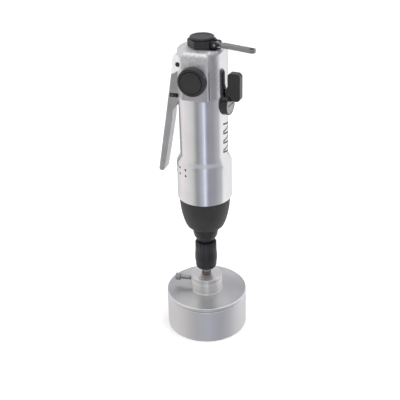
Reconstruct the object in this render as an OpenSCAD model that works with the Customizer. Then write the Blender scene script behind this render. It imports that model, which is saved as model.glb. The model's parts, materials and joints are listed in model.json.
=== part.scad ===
// Hand-held pneumatic capping tool: throttle-lever air motor, planetary reduction, ball clutch,
// quick-change bit holder and a capping chuck with a rubber cap ring.
// The origin is the centre of the chuck's bottom face and +Z runs up the tool axis.
// The throttle lever is on the -X side, the side air port on -Y, the reverse lever on +X.

/* [Chuck] */
// Outside diameter of the chuck cup and lid
chuck_d = 71.4; // [64:0.2:76]
// Height of the chuck cup
cup_h = 31.5; // [31:0.1:32]
// Diameter of the cap bore in the rubber ring
cap_bore_d = 38; // [28:0.5:40]
// Diameter of the hub on the chuck lid
hub_d = 27.8; // [24:0.2:32]
// Compass direction of the lock screw around the hub, in degrees from +X
lock_screw_az = 186.5; // [160:0.5:200]

/* [Bit and holder] */
// Width across flats of the hexagon drive bit
bit_af = 6.35; // [6:0.05:6.4]
// Widest diameter of the quick-change sleeve
sleeve_d = 19.6; // [19.4:0.1:21]
// Height of the bottom edge of the sleeve
sleeve_z = 58.5; // [58.4:0.1:58.6]
// Length of the quick-change sleeve
sleeve_len = 26.2; // [25.5:0.1:26.4]

/* [Nose] */
// Height of the joint between the rubber nose cover and the metal housing
nose_z = 130; // [129.9:0.1:130.1]
// Largest diameter of the rubber nose cover
nose_d = 43.2; // [42:0.2:44]

/* [Housing] */
// Height of the top face of the housing
top_z = 261; // [260.8:0.1:261.1]
// Diameter of the grip
grip_d = 40; // [39.6:0.1:41]
// Diameter of the wide muzzle around the exhaust chamber
muzzle_d = 46; // [45:0.1:47]
// Diameter of the bore that holds the motor and the gears
motor_bore_d = 33; // [32.9:0.05:33.1]
// Distance of the flat port pad from the tool axis
pad_y = 22; // [21:0.1:23]
// Half the width of the port pad
pad_half_w = 11.6; // [11:0.1:13]

/* [Air ports] */
// Radius of the air threads
port_r = 5.72; // [5.6:0.01:5.8]
// Height of the side port axis
side_port_z = 239.7; // [239:0.1:240.4]
// Diameter of the cap on the side port
side_cap_d = 22.8; // [20:0.2:24]
// Width across flats of the hexagon hanger collar
collar_af = 20; // [19.6:0.1:22]
// Compass direction of the hanger arm, in degrees from -Y towards +X
hanger_az = 76.5; // [60:0.5:90]
// Droop of the hanger arm at rest, in degrees
hanger_droop = 1; // [0:0.5:5]
// Distance from the hanger pin to the hanging eye
hanger_reach = 30.8; // [24:0.1:34]

/* [Throttle lever] */
// Distance of the lever pin from the tool axis
lever_pin_x = 17; // [16.8:0.1:17.2]
// Height of the lever pin
lever_pin_z = 247.5; // [247:0.1:248]
// Width of the lever channel
lever_w = 12; // [11:0.1:12]
// Thickness of the lever sheet
lever_t = 1.5; // [1.2:0.1:1.6]

/* [Reverse valve] */
// Compass direction of the reverse valve axis, in degrees from +X
reverse_az = -6; // [-10:0.5:0]
// Height of the reverse valve axis
reverse_z = 215.6; // [215.4:0.1:215.8]
// Distance of the outer face of the reverse lever hub from the tool axis
reverse_face_x = 24.2; // [24:0.1:24.6]
// Radius of the reverse lever hub
reverse_hub_r = 8.5; // [8:0.1:8.8]

/* [Gear train] */
// Gear module
gear_module = 0.6; // [0.6]
// Teeth on the rotor pinion
sun_teeth = 12; // [12]
// Teeth on each planet gear
planet_teeth = 15; // [15]
// Number of planet gears
planet_count = 3; // [3]

/* [Hidden] */
$fn = 96;
chuck_r = chuck_d / 2;
cap_r = cap_bore_d / 2;
hub_r = hub_d / 2;
lid_z0 = cup_h + 0.5;
lid_z1 = lid_z0 + 3.3;
hub_z = lid_z1 + 15;
grip_r = grip_d / 2;
muzzle_r = muzzle_d / 2;
motor_r = motor_bore_d / 2;
stack_r = motor_r - 0.1;
nose_r = nose_d / 2;
sleeve_r = sleeve_d / 2;
sleeve_top = sleeve_z + sleeve_len;
spindle_r = 5.98;
ring_teeth = sun_teeth + 2 * planet_teeth;
sun_r = gear_module * sun_teeth / 2;
planet_r = gear_module * planet_teeth / 2;
ring_r = gear_module * ring_teeth / 2;
planet_orbit = sun_r + planet_r;
pressure_angle = 20;
tooth_slack = 0.05;
stem_z = 220;
plunger_r = 1.6;
bearing_wall = 1.3;
dowel_y = -13.9;
ear_y = 10.5;
motor_z0 = 165.3;
motor_z1 = 197.3;
ball_z = 76;
pocket_x = 13.2;
hanger_pin_r = 13.4;
hanger_pin_z = 264.3;
clutch_ball_r = 2;
clutch_ball_orbit = 9.5;
clutch_ball_count = 6;
clutch_ball_z = 124.4;

// ---------- shared shapes ----------

// A tube standing between two heights
module tube(r_in, r_out, z0, z1) {
  translate([0, 0, z0])
    difference() {
      cylinder(r = r_out, h = z1 - z0);
      translate([0, 0, -1]) cylinder(r = r_in, h = z1 - z0 + 2);
    }
}

// A solid disc or shaft between two heights
module disc(r, z0, z1) {
  translate([0, 0, z0]) cylinder(r = r, h = z1 - z0);
}

// A hexagon prism between two heights, with flats facing +X and -X
module hex_prism(af, z0, z1) {
  translate([0, 0, z0]) rotate(30) cylinder(d = af / cos(30), h = z1 - z0, $fn = 6);
}

// Turns a shape built along +Z so that it runs along +X, with its heights becoming x values
module along_x(z) {
  translate([0, 0, z]) rotate([0, 90, 0]) children();
}

// Places a shape built along +X around the tool axis, at a direction measured from -Y towards +X
module at_hanger() {
  rotate(hanger_az - 90) children();
}

// Places a shape built along +X on the axis of the reverse valve
module at_reverse() {
  rotate(reverse_az) children();
}

// A ball bearing between two heights: outer ring, inner ring and a circle of balls
module ball_bearing(r_in, r_out, z0, z1, balls, wall = bearing_wall) {
  ball_r = (r_out - r_in - 2 * wall) / 2 - 0.03;
  tube(r_in, r_in + wall, z0, z1);
  tube(r_out - wall, r_out, z0, z1);
  for (i = [0 : balls - 1])
    rotate(i * 360 / balls)
      translate([(r_in + r_out) / 2, 0, (z0 + z1) / 2])
        sphere(r = ball_r, $fn = 32);
}

// Points of a helix of the given mean radius rising through the turns asked for
function helix(r, z0, z1, turns, steps) = [
  for (i = [0 : turns * steps])
    [r * cos(i * 360 / steps), r * sin(i * 360 / steps), z0 + (z1 - z0) * i / (turns * steps)]
];

// A coil spring of round wire whose outermost wire surfaces lie at the two heights
module coil_spring(r, wire_r, z0, z1, turns) {
  steps = 20;
  sides = 6;
  line = helix(r, z0 + wire_r, z1 - wire_r, turns, steps);
  last = len(line) - 1;
  points = [
    for (i = [0 : last], j = [0 : sides - 1])
      line[i] + wire_r * [
        cos(i * 360 / steps) * cos(j * 360 / sides),
        sin(i * 360 / steps) * cos(j * 360 / sides),
        sin(j * 360 / sides)
      ]
  ];
  skin = [
    for (i = [0 : last - 1], j = [0 : sides - 1])
      [i * sides + j, (i + 1) * sides + j, (i + 1) * sides + (j + 1) % sides, i * sides + (j + 1) % sides]
  ];
  ends = [
    [for (j = [0 : sides - 1]) j],
    [for (j = [0 : sides - 1]) last * sides + sides - 1 - j]
  ];
  polyhedron(points = points, faces = concat(skin, ends), convexity = 6);
}

// ---------- gear teeth ----------

// The involute function of an angle in degrees, in degrees
function involute(a) = (tan(a) * 180 / PI) - a;

// Half the angle that a tooth fills at radius r, widened by extra millimetres on each flank
function half_tooth(teeth, r, extra) =
  90 / teeth + involute(pressure_angle)
  - involute(acos(min(1, gear_module * teeth / 2 * cos(pressure_angle) / r)))
  + extra / (gear_module * teeth / 2) * 180 / PI;

// The outline of a spur gear, between a root and a tip radius, with a tooth centred on +X
function gear_outline(teeth, r_root, r_tip, extra) =
  let(
    steps = 4,
    r_start = max(r_root, gear_module * teeth / 2 * cos(pressure_angle)),
    radii = [for (k = [0 : steps]) r_start + (r_tip - r_start) * k / steps]
  )
  [
    for (i = [0 : teeth - 1])
      let(
        mid = i * 360 / teeth,
        rise = [for (r = radii) [r, mid - half_tooth(teeth, r, extra)]],
        fall = [for (k = [steps : -1 : 0]) [radii[k], mid + half_tooth(teeth, radii[k], extra)]],
        foot = half_tooth(teeth, r_start, extra),
        tooth = concat([[r_root, mid - foot - 0.2]], rise, fall, [[r_root, mid + foot + 0.2]])
      )
      for (p = tooth) [p[0] * cos(p[1]), p[0] * sin(p[1])]
  ];

module spur_gear(teeth, z0, z1) {
  r = gear_module * teeth / 2;
  translate([0, 0, z0])
    linear_extrude(z1 - z0)
      polygon(gear_outline(teeth, r - 1.25 * gear_module, r + 0.9 * gear_module, -tooth_slack));
}

// ---------- housing and ports ----------

// Half section of the outside of the housing
module housing_section() {
  flare_z0 = 163;
  flare_z1 = 170;
  edge = 0.8;
  rim_r = 4;
  flare_r = muzzle_r - grip_r;
  difference() {
    union() {
      polygon([
        [0, nose_z], [muzzle_r - edge, nose_z], [muzzle_r, nose_z + edge], [muzzle_r, flare_z0],
        [grip_r, flare_z1], [grip_r, top_z - rim_r], [grip_r - rim_r, top_z], [0, top_z]
      ]);
      translate([grip_r - rim_r, top_z - rim_r]) circle(r = rim_r);
    }
    translate([muzzle_r, flare_z1 + 1.4]) circle(r = flare_r);
  }
}

// Cast block for the side port, with rounded upright edges and a rounded top
module port_pad() {
  pad_z0 = 222.5;
  edge_r = 2;
  top_r = 3.5;
  intersection() {
    translate([0, 0, pad_z0])
      linear_extrude(top_z - pad_z0)
        union() {
          translate([-pad_half_w, -pad_y + edge_r]) square([2 * pad_half_w, pad_y - edge_r]);
          translate([-pad_half_w + edge_r, -pad_y]) square([2 * (pad_half_w - edge_r), pad_y]);
          for (side = [-1, 1])
            translate([side * (pad_half_w - edge_r), -pad_y + edge_r]) circle(r = edge_r);
        }
    translate([-pad_half_w - 1, 0, 0])
      rotate([90, 0, 90])
        linear_extrude(2 * pad_half_w + 2)
          union() {
            translate([-pad_y, pad_z0]) square([pad_y, top_z - pad_z0 - top_r]);
            translate([-pad_y + top_r, pad_z0]) square([pad_y - top_r, top_z - pad_z0]);
            translate([-pad_y + top_r, top_z - top_r]) circle(r = top_r);
          }
  }
}

// Side outline shared by the lever ears and by the flats milled beside them
module ear_outline(x_out, x_in) {
  ear_top = 255.2;
  ear_x = 21.1;
  top_round = 3;
  intersection() {
    translate([-x_out, 230]) square([x_out - x_in, 40]);
    union() {
      polygon([
        [-10, 245.2], [-13.4, 245.2], [-20.4, 239.6], [-ear_x - 1.9, 239.9],
        [-ear_x, ear_top - top_round], [-ear_x + top_round, ear_top], [-10, ear_top]
      ]);
      translate([-ear_x + top_round, ear_top - top_round]) circle(r = top_round);
    }
  }
}

// Pair of cast ears that hold the lever pin
module lever_ears() {
  translate([0, ear_y, 0]) rotate([90, 0, 0]) linear_extrude(2 * ear_y) ear_outline(24, 10);
}

// Flats milled into the round body, level with the outer faces of the ears
module ear_flats() {
  for (side = [-1, 1])
    translate([0, side * (ear_y + 15) + 15, 0])
      rotate([90, 0, 0]) linear_extrude(30) ear_outline(24, 12.8);
}

// Pair of air passages that lead from the reverse valve down to the motor
module air_holes(z0, z1) {
  for (side = [-1, 1])
    translate([8.2, side * 3.5, z0]) cylinder(r = 1.5, h = z1 - z0, $fn = 24);
}

module exhaust_holes() {
  columns = 6;
  first_az = -23.2;
  pitch = 18.3;
  for (row_z = [156.3, 161.8], i = [0 : columns - 1])
    translate([0, 0, row_z])
      rotate([90, 0, first_az - i * pitch])
        translate([0, 0, motor_r + 1]) cylinder(r = 1, h = muzzle_r - motor_r + 2, $fn = 24);
}

module housing() {
  chamber_top = 206;
  slot_half = lever_w / 2 + 0.15;
  slot_top = 255.8;
  color([0.80, 0.80, 0.82])
    difference() {
      union() {
        rotate_extrude() housing_section();
        port_pad();
        lever_ears();
      }
      // motor and clutch bore, with the exhaust chamber cut into it
      disc(motor_r, nose_z - 1, chamber_top);
      disc(19.6, 152.5, 165.5);
      exhaust_holes();
      ear_flats();
      translate([-2, -18.2, 160]) cube([4, 4, 30]);
      // lever slot between the ears and its run-out down the grip
      translate([-40, -slot_half, 209]) cube([40 - pocket_x, 2 * slot_half, slot_top - 209]);
      translate([-40, -slot_half, 190]) cube([40 - 17.6, 2 * slot_half, 19.1]);
      translate([-lever_pin_x, 15, lever_pin_z]) rotate([90, 0, 0]) cylinder(r = 1.95, h = 30);
      // top port and the gallery below it
      disc(7.05, 246.8, top_z + 1);
      disc(4.8, 226, 246.9);
      // side port: cap recess, thread and gallery
      translate([0, 0, side_port_z])
        rotate([90, 0, 0]) {
          disc(6.6, 19, pad_y + 1);
          disc(port_r, 9, 19.1);
          disc(4.5, 0, 9.1);
        }
      // throttle valve bore and its feed and outlet
      along_x(stem_z) disc(4.45, -pocket_x - 1, -0.9);
      translate([-4.6, 0, stem_z]) cylinder(r = 1.8, h = 12);
      along_x(217.5) disc(1.3, -1.5, 4);
      // reverse valve bore, its spot face and the motor feeds
      at_reverse() {
        along_x(reverse_z) disc(6.5, 2.5, 30);
        along_x(reverse_z) disc(reverse_hub_r + 0.3, 17.3, 30);
        air_holes(chamber_top - 1, chamber_top + 7);
      }
    }
}

module inlet_bushing() {
  thread_z = 250;
  recess_z = 264.2;
  color([0.12, 0.12, 0.13])
    difference() {
      union() {
        disc(7, 247, top_z + 0.15);
        disc(8, top_z + 0.1, 266.3);
        disc(9.3, 266.2, 267.4);
      }
      disc(4.6, 246, thread_z + 0.1);
      disc(port_r, thread_z, recess_z + 0.1);
      disc(6.6, recess_z, 268);
    }
}

module inlet_strainer() {
  slots = 8;
  color([0.70, 0.66, 0.55])
    difference() {
      disc(4.5, 240, 249.9);
      disc(4, 240.6, 251);
      for (i = [0 : slots - 1])
        rotate(i * 360 / slots)
          translate([2, -0.5, 242]) cube([4, 1, 6]);
    }
}

module top_cap() {
  cap_r_out = 9.75;
  edge = 0.85;
  color([0.16, 0.16, 0.17])
    union() {
      disc(6.5, 264.4, 268);
      disc(cap_r_out, 267.45, 268.25);
      translate([0, 0, 268.25]) cylinder(r1 = cap_r_out, r2 = cap_r_out - edge, h = edge);
    }
}

module hanger_collar() {
  lug_half = 4.2;
  slot_half = 2.1;
  eye_r = 2.6;
  color([0.12, 0.12, 0.13])
    at_hanger()
      difference() {
        union() {
          hex_prism(collar_af, top_z + 0.3, 267);
          translate([8, -lug_half, hanger_pin_z - eye_r])
            cube([hanger_pin_r - 8, 2 * lug_half, 2 * eye_r]);
          translate([hanger_pin_r, lug_half, hanger_pin_z])
            rotate([90, 0, 0]) cylinder(r = eye_r, h = 2 * lug_half);
        }
        disc(8.06, top_z, 268);
        disc(9.4, 266.12, 268);
        translate([10.6, -slot_half, 255]) cube([10, 2 * slot_half, 20]);
        translate([hanger_pin_r, 10, hanger_pin_z])
          rotate([90, 0, 0]) cylinder(r = 1.25, h = 20);
      }
}

module hanger_pin() {
  color([0.45, 0.45, 0.47])
    at_hanger()
      translate([hanger_pin_r, 4.15, hanger_pin_z])
        rotate([90, 0, 0]) cylinder(r = 1.2, h = 8.3);
}

module hanger_arm() {
  bar_half = 1.3;
  bar_w = 6;
  tongue_w = 4;
  eye_pad_r = 3.2;
  eye_hole_r = 1.8;
  color([0.55, 0.55, 0.57])
    at_hanger()
      translate([hanger_pin_r, 0, hanger_pin_z])
        rotate([0, hanger_droop, 0])
          difference() {
            union() {
              translate([0, tongue_w / 2, 0]) rotate([90, 0, 0]) cylinder(r = 2.3, h = tongue_w);
              translate([0, -tongue_w / 2, -bar_half]) cube([5, tongue_w, 2 * bar_half]);
              translate([3.8, -bar_w / 2, -bar_half])
                cube([hanger_reach - 3.8, bar_w, 2 * bar_half]);
              translate([hanger_reach, 0, -bar_half]) cylinder(r = eye_pad_r, h = 2 * bar_half);
            }
            translate([0, 10, 0]) rotate([90, 0, 0]) cylinder(r = 1.25, h = 20);
            translate([hanger_reach, 0, -5]) cylinder(r = eye_hole_r, h = 10);
          }
}

module front_cap() {
  rim_r = side_cap_d / 2;
  edge = 1.5;
  color([0.14, 0.14, 0.15])
    translate([0, 0, side_port_z])
      rotate([90, 0, 0])
        rotate_extrude()
          difference() {
            union() {
              translate([0, 19.2]) square([6.5, 4]);
              translate([0, pad_y + 0.05]) square([rim_r, 5.6 - edge]);
              translate([0, pad_y + 0.05]) square([rim_r - edge, 5.6]);
              translate([rim_r - edge, pad_y + 5.65 - edge]) circle(r = edge);
              translate([0, pad_y + 1]) square([8.3, 5.6]);
            }
            translate([-20, 0]) square([20, 60]);
          }
}

// ---------- throttle ----------

// Side outline of the lever: the outer edge, the rounded tip and the inner edge
module lever_outline() {
  tip_x = -36.7;
  tip_z = 152.7;
  tip_r = 2.2;
  polygon([
    [-19.6, 250.2], [-22.4, 244.5], [-24.6, 238.5], [tip_x - tip_r, tip_z], [tip_x, tip_z - tip_r],
    [tip_x + tip_r, tip_z], [-25.6, 198], [-24.8, 206.5], [-19.9, 212.5], [-17.5, 221],
    [-14.2, 244], [-14.2, 250.2]
  ]);
  translate([tip_x, tip_z]) circle(r = tip_r);
  translate([-lever_pin_x, lever_pin_z]) circle(r = 3.6);
}

// Lever with a solid grip and a channel at the top that straddles the plunger
module throttle_lever() {
  half_w = lever_w / 2;
  core_w = lever_w - 2 * lever_t;
  channel_z0 = 209;
  color([0.62, 0.62, 0.63])
    difference() {
      translate([0, half_w, 0]) rotate([90, 0, 0]) linear_extrude(lever_w) lever_outline();
      // hollow of the channel, set in from the outer edge by the sheet thickness
      translate([lever_t + 0.05, core_w / 2, 0])
        rotate([90, 0, 0])
          linear_extrude(core_w)
            polygon([
              [-19.6, 262], [-19.6, 250.2], [-22.4, 244.5], [-24.6, 238.5], [-29.5, channel_z0],
              [0, channel_z0], [0, 262]
            ]);
      // notch that clears the plunger, and the pin hole
      translate([-26.5, -half_w - 1, stem_z - 1.8]) cube([20, lever_w + 2, 3.6]);
      translate([-lever_pin_x, 15, lever_pin_z]) rotate([90, 0, 0]) cylinder(r = 1.98, h = 30);
    }
}

module lever_pin() {
  color([0.15, 0.15, 0.16])
    translate([-lever_pin_x, 10.7, lever_pin_z])
      rotate([90, 0, 0]) cylinder(r = 1.93, h = 21.4);
}

module throttle_plunger() {
  tip_x = -26.2;
  color([0.72, 0.58, 0.30])
    along_x(stem_z)
      union() {
        disc(plunger_r, tip_x + 1, -6.2);
        translate([0, 0, tip_x]) cylinder(r1 = 0.7, r2 = plunger_r, h = 1.1);
        disc(2.9, -7.6, -6.2);
      }
}

module valve_guide() {
  color([0.76, 0.62, 0.34])
    along_x(stem_z)
      difference() {
        union() {
          disc(4.4, -pocket_x - 0.1, -1.2);
          disc(5.6, -pocket_x - 1.4, -pocket_x);
        }
        disc(plunger_r + 0.05, -20, -1);
        disc(3.4, -8, 0);
        translate([-10, 0, -4.6]) rotate([0, 90, 0]) cylinder(r = 1.5, h = 10, $fn = 24);
      }
}

module valve_seal() {
  color([0.20, 0.20, 0.20])
    along_x(stem_z) tube(plunger_r, 2.9, -7.98, -7.62);
}

module valve_spring() {
  color([0.70, 0.70, 0.72])
    along_x(stem_z) coil_spring(2.2, 0.35, -6.1, -1, 4);
}

// ---------- reverse valve ----------

module reverse_sleeve() {
  color([0.76, 0.62, 0.34])
    at_reverse()
      along_x(reverse_z)
        difference() {
          tube(4.55, 6.45, 2.6, 17);
          for (side = [-1, 1])
            translate([0, side * 3.5, 8]) rotate([0, 90, 0]) cylinder(r = 1.2, h = 10, $fn = 24);
        }
}

module reverse_spool() {
  tang = 5;
  color([0.66, 0.66, 0.68])
    at_reverse()
      along_x(reverse_z)
        difference() {
          union() {
            disc(4.5, 2.7, 17.2);
            translate([-tang / 2, -tang / 2, 17]) cube([tang, tang, 4.6]);
          }
          tube(3.45, 6, 15.4, 16.6);
          translate([1.2, -6, 5]) cube([6, 12, 6]);
          disc(1.55, 13.4, 22);
        }
}

module spool_oring() {
  color([0.10, 0.10, 0.10])
    at_reverse()
      along_x(reverse_z)
        translate([0, 0, 16]) rotate_extrude() translate([4, 0]) circle(r = 0.5, $fn = 24);
}

// Thumb lever: a round hub, a neck and a fin that stands out from the grip
module reverse_lever() {
  fin_half = 3;
  fin_x0 = 22.6;
  fin_x1 = 33.1;
  fin_z0 = reverse_z + 4;
  fin_z1 = reverse_z + 26.8;
  corner = 3.2;
  screw_r = 7.7;
  color([0.10, 0.10, 0.10])
    at_reverse()
      difference() {
        union() {
          along_x(reverse_z) disc(reverse_hub_r, 17.4, reverse_face_x);
          translate([20.6, -fin_half, reverse_z + 4]) cube([4, 2 * fin_half, 10]);
          translate([0, fin_half, 0])
            rotate([90, 0, 0])
              linear_extrude(2 * fin_half)
                union() {
                  translate([fin_x0, fin_z0 + corner]) square([fin_x1 - fin_x0, fin_z1 - fin_z0 - 2 * corner]);
                  translate([fin_x0 + corner, fin_z0]) square([fin_x1 - fin_x0 - 2 * corner, fin_z1 - fin_z0]);
                  for (x = [fin_x0 + corner, fin_x1 - corner], z = [fin_z0 + corner, fin_z1 - corner])
                    translate([x, z]) circle(r = corner);
                }
        }
        along_x(reverse_z) disc(screw_r, 22.55, reverse_face_x + 0.1);
        translate([17, -2.55, reverse_z - 2.55]) cube([6, 5.1, 5.1]);
      }
}

module reverse_screw() {
  color([0.60, 0.60, 0.62])
    at_reverse()
      along_x(reverse_z)
        difference() {
          union() {
            disc(7.6, 22.6, 24);
            disc(1.5, 14, 22.7);
          }
          translate([-5, -0.6, 23.3]) cube([10, 1.2, 2]);
        }
}

// ---------- air motor ----------

module motor_gasket() {
  color([0.35, 0.30, 0.22])
    difference() {
      tube(7, stack_r, 204.95, 205.9);
      at_reverse() air_holes(204, 207);
    }
}

module rear_plate() {
  color([0.50, 0.50, 0.52])
    difference() {
      disc(stack_r, motor_z1 + 0.02, 204.9);
      disc(3.6, motor_z1 - 1, 200);
      disc(8.02, 199.4, 206);
      translate([0, dowel_y, 190]) cylinder(r = 1.25, h = 11.1, $fn = 32);
      for (side = [-1, 1])
        translate([12, side * 4, 190]) cylinder(r = 1.5, h = 20, $fn = 24);
    }
}

module rear_bearing() {
  color([0.72, 0.72, 0.75]) ball_bearing(3, 8, 199.5, 204.5, 8);
}

module motor_cylinder() {
  bore_r = 12;
  offset_y = 1.5;
  color([0.55, 0.55, 0.57])
    difference() {
      disc(stack_r, motor_z0, motor_z1);
      translate([0, offset_y, motor_z0 - 1]) cylinder(r = bore_r, h = 40);
      translate([0, dowel_y, motor_z0 - 1]) cylinder(r = 1.25, h = 40, $fn = 32);
      for (z = [172 : 5 : 187], side = [-1, 1])
        translate([side * 5, 0, z]) rotate([90, 0, 0]) cylinder(r = 1.2, h = 20, $fn = 24);
    }
}

module rotor() {
  rotor_r = 10.45;
  slots = 5;
  slot_r = 6;
  slot_w = 1.6;
  color([0.48, 0.48, 0.50])
    union() {
      difference() {
        disc(rotor_r, motor_z0 + 0.05, motor_z1 - 0.05);
        for (i = [0 : slots - 1])
          rotate(i * 360 / slots)
            translate([slot_r, -slot_w / 2, motor_z0 - 1]) cube([6, slot_w, 40]);
      }
      disc(2.97, motor_z1 - 1, 204.4);
      disc(4.37, 156, motor_z0 + 1);
      spur_gear(sun_teeth, 144.4, 156.1);
    }
}

module rotor_vanes() {
  vanes = 5;
  color([0.45, 0.28, 0.16])
    for (i = [0 : vanes - 1])
      rotate(i * 360 / vanes)
        translate([6.1, -0.75, motor_z0 + 0.15]) cube([4.2, 1.5, motor_z1 - motor_z0 - 0.3]);
}

module front_plate() {
  color([0.50, 0.50, 0.52])
    difference() {
      disc(stack_r, 157.35, motor_z0 - 0.02);
      disc(5, 150, 170);
      disc(8.02, 150, 163);
      translate([0, dowel_y, 159.9]) cylinder(r = 1.25, h = 10, $fn = 32);
    }
}

module front_bearing() {
  color([0.72, 0.72, 0.75]) ball_bearing(4.4, 8, 158, 162.9, 10, 0.8);
}

module cylinder_pin() {
  color([0.60, 0.60, 0.60])
    translate([0, dowel_y, 160]) cylinder(r = 1.2, h = 41, $fn = 32);
}

module exhaust_silencer() {
  color([0.60, 0.58, 0.50]) tube(motor_r + 0.3, 19.4, 153, 165);
}

// ---------- gears ----------

module ring_gear() {
  color([0.42, 0.42, 0.44])
    difference() {
      disc(stack_r, 143.35, 157.3);
      translate([0, 0, 143])
        linear_extrude(15)
          polygon(gear_outline(
            ring_teeth, ring_r - 0.9 * gear_module, ring_r + 1.25 * gear_module, tooth_slack
          ));
    }
}

module planet_gear(index) {
  color([0.66, 0.60, 0.42])
    rotate(index * 360 / planet_count)
      translate([planet_orbit, 0, 0])
        rotate(-index * 360 / planet_count)
          difference() {
            spur_gear(planet_teeth, 145.2, 154.8);
            disc(1.25, 140, 160);
          }
}

module planet_gear_a() planet_gear(0);
module planet_gear_b() planet_gear(1);
module planet_gear_c() planet_gear(2);

module planet_pins() {
  color([0.75, 0.75, 0.78])
    for (i = [0 : planet_count - 1])
      rotate(i * 360 / planet_count)
        translate([planet_orbit, 0, 140.4]) cylinder(r = 1.2, h = 15, $fn = 32);
}

module planet_carrier() {
  color([0.50, 0.50, 0.52])
    difference() {
      union() {
        disc(11.6, 140.2, 144.1);
        disc(5.96, 131.2, 140.3);
        hex_prism(8, 125.3, 131.3);
      }
      for (i = [0 : planet_count - 1])
        rotate(i * 360 / planet_count)
          translate([planet_orbit, 0, 140.35]) cylinder(r = 1.21, h = 10, $fn = 32);
    }
}

module carrier_bearing() {
  color([0.72, 0.72, 0.75]) ball_bearing(6, 11, 133.3, 139.3, 9);
}

// ---------- clutch ----------

module clutch_ball_set(r) {
  for (i = [0 : clutch_ball_count - 1])
    rotate(i * 360 / clutch_ball_count)
      translate([clutch_ball_orbit, 0, clutch_ball_z]) sphere(r = r, $fn = 32);
}

module clutch_driver() {
  color([0.46, 0.46, 0.48])
    difference() {
      disc(13, 125.2, 131.1);
      hex_prism(8.1, 120, 140);
      clutch_ball_set(clutch_ball_r + 0.06);
    }
}

module clutch_balls() {
  color([0.80, 0.80, 0.82]) clutch_ball_set(clutch_ball_r);
}

module clutch_plate() {
  color([0.46, 0.46, 0.48])
    difference() {
      disc(13, 118.4, 123.6);
      hex_prism(9.1, 110, 130);
      clutch_ball_set(clutch_ball_r + 0.06);
    }
}

module clutch_spring() {
  color([0.55, 0.55, 0.58]) coil_spring(8.6, 1, 109.5, 118.3, 3);
}

module adjusting_nut() {
  color([0.58, 0.58, 0.60])
    difference() {
      disc(12, 105.8, 109.4);
      disc(5.05, 100, 112);
      for (i = [0 : 3])
        rotate(i * 90) translate([9.5, 0, 102]) cylinder(r = 1.25, h = 10, $fn = 24);
    }
}

module clutch_case() {
  color([0.40, 0.40, 0.42])
    difference() {
      union() {
        disc(8.6, 89, 103.1);
        translate([0, 0, 102.3]) cylinder(r1 = 12.5, r2 = 15.6, h = 3);
        disc(15.6, 105.2, nose_z + 0.1);
        disc(motor_r - 0.05, nose_z + 0.02, 143.3);
      }
      disc(7.25, 88, 106);
      disc(14, 105, 131.8);
      disc(9.5, 130, 134);
      disc(11.02, 133.2, 140);
      disc(12.5, 139.5, 150);
    }
}

module spindle() {
  color([0.30, 0.30, 0.31])
    difference() {
      union() {
        disc(spindle_r, sleeve_z + 0.2, 98);
        disc(7.1, 97.8, 100.6);
        disc(5, 100.5, 116.2);
        hex_prism(9, 116.1, 123.4);
      }
      hex_prism(bit_af + 0.1, 50, 88);
      tube(5.25, 8, 59.6, 60.8);
      translate([2, 0, ball_z]) rotate([0, 90, 0]) cylinder(r = 1.65, h = 10, $fn = 32);
    }
}

module spindle_bearing() {
  color([0.72, 0.52, 0.30]) tube(spindle_r + 0.05, 7.2, 89.2, 97.6);
}

// ---------- nose ----------

// Half section of the outside of the rubber cover, a bell that swells from the neck to the muzzle
module bell_section() {
  bell_z0 = 101;
  neck_r = 14.9;
  fullness = 0.65;
  steps = 12;
  rise = nose_z - bell_z0;
  polygon(concat(
    [[0, bell_z0]],
    [
      for (i = [0 : steps])
        let(t = i / steps)
        [neck_r + (nose_r - neck_r) * pow(sin(90 * t), fullness), bell_z0 + rise * t]
    ],
    [[0, nose_z]]
  ));
}

module nose_cover() {
  color([0.11, 0.11, 0.12])
    difference() {
      rotate_extrude() bell_section();
      disc(8.7, 95, 105);
      translate([0, 0, 102.2]) cylinder(r1 = 12.6, r2 = 15.7, h = 3);
      disc(15.7, 105.1, nose_z + 1);
    }
}

module nose_cap() {
  base_z = 86.2;
  color([0.12, 0.12, 0.13])
    difference() {
      rotate_extrude()
        polygon([
          [0, base_z], [7.5, base_z], [7.8, 86.9], [8.5, 88.1], [9.7, 90], [10.5, 92],
          [10.9, 94.5], [11.1, 97], [11.1, 100.9], [0, 100.9]
        ]);
      disc(6.3, 80, 90);
      disc(8.7, 88.9, 102);
    }
}

// ---------- bit holder ----------

module holder_sleeve() {
  color([0.13, 0.13, 0.14])
    difference() {
      rotate_extrude()
        polygon([
          [0, sleeve_z], [sleeve_r - 1.2, sleeve_z], [sleeve_r - 0.6, sleeve_z + 1.5],
          [sleeve_r - 0.5, sleeve_z + 4], [sleeve_r, sleeve_z + 8], [sleeve_r, sleeve_z + 12],
          [sleeve_r - 0.4, sleeve_z + 18], [sleeve_r - 0.35, sleeve_top - 1.7],
          [sleeve_r - 1.1, sleeve_top], [0, sleeve_top]
        ]);
      disc(spindle_r + 0.08, 50, 90);
      disc(6.6, 71.4, 81.2);
      disc(8, 50, 71.5);
    }
}

module holder_spring() {
  color([0.60, 0.60, 0.62]) coil_spring(7.2, 0.45, 60.9, 71.4, 5);
}

module holder_ball() {
  color([0.80, 0.80, 0.82]) translate([4.85, 0, ball_z]) sphere(r = 1.6, $fn = 32);
}

module retaining_ring() {
  color([0.60, 0.60, 0.62])
    difference() {
      tube(5.3, 7.8, 59.65, 60.75);
      translate([0, -1.5, 55]) cube([10, 3, 10]);
    }
}

module hex_bit() {
  color([0.52, 0.52, 0.53])
    difference() {
      hex_prism(bit_af, 38.1, 87.5);
      tube(2.9, 6, ball_z - 2, ball_z + 2);
    }
}

module bit_collar() {
  color([0.45, 0.28, 0.20])
    difference() {
      disc(4.1, hub_z + 0.05, hub_z + 2.6);
      hex_prism(bit_af + 0.04, 45, 60);
    }
}

// ---------- capping chuck ----------

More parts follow.
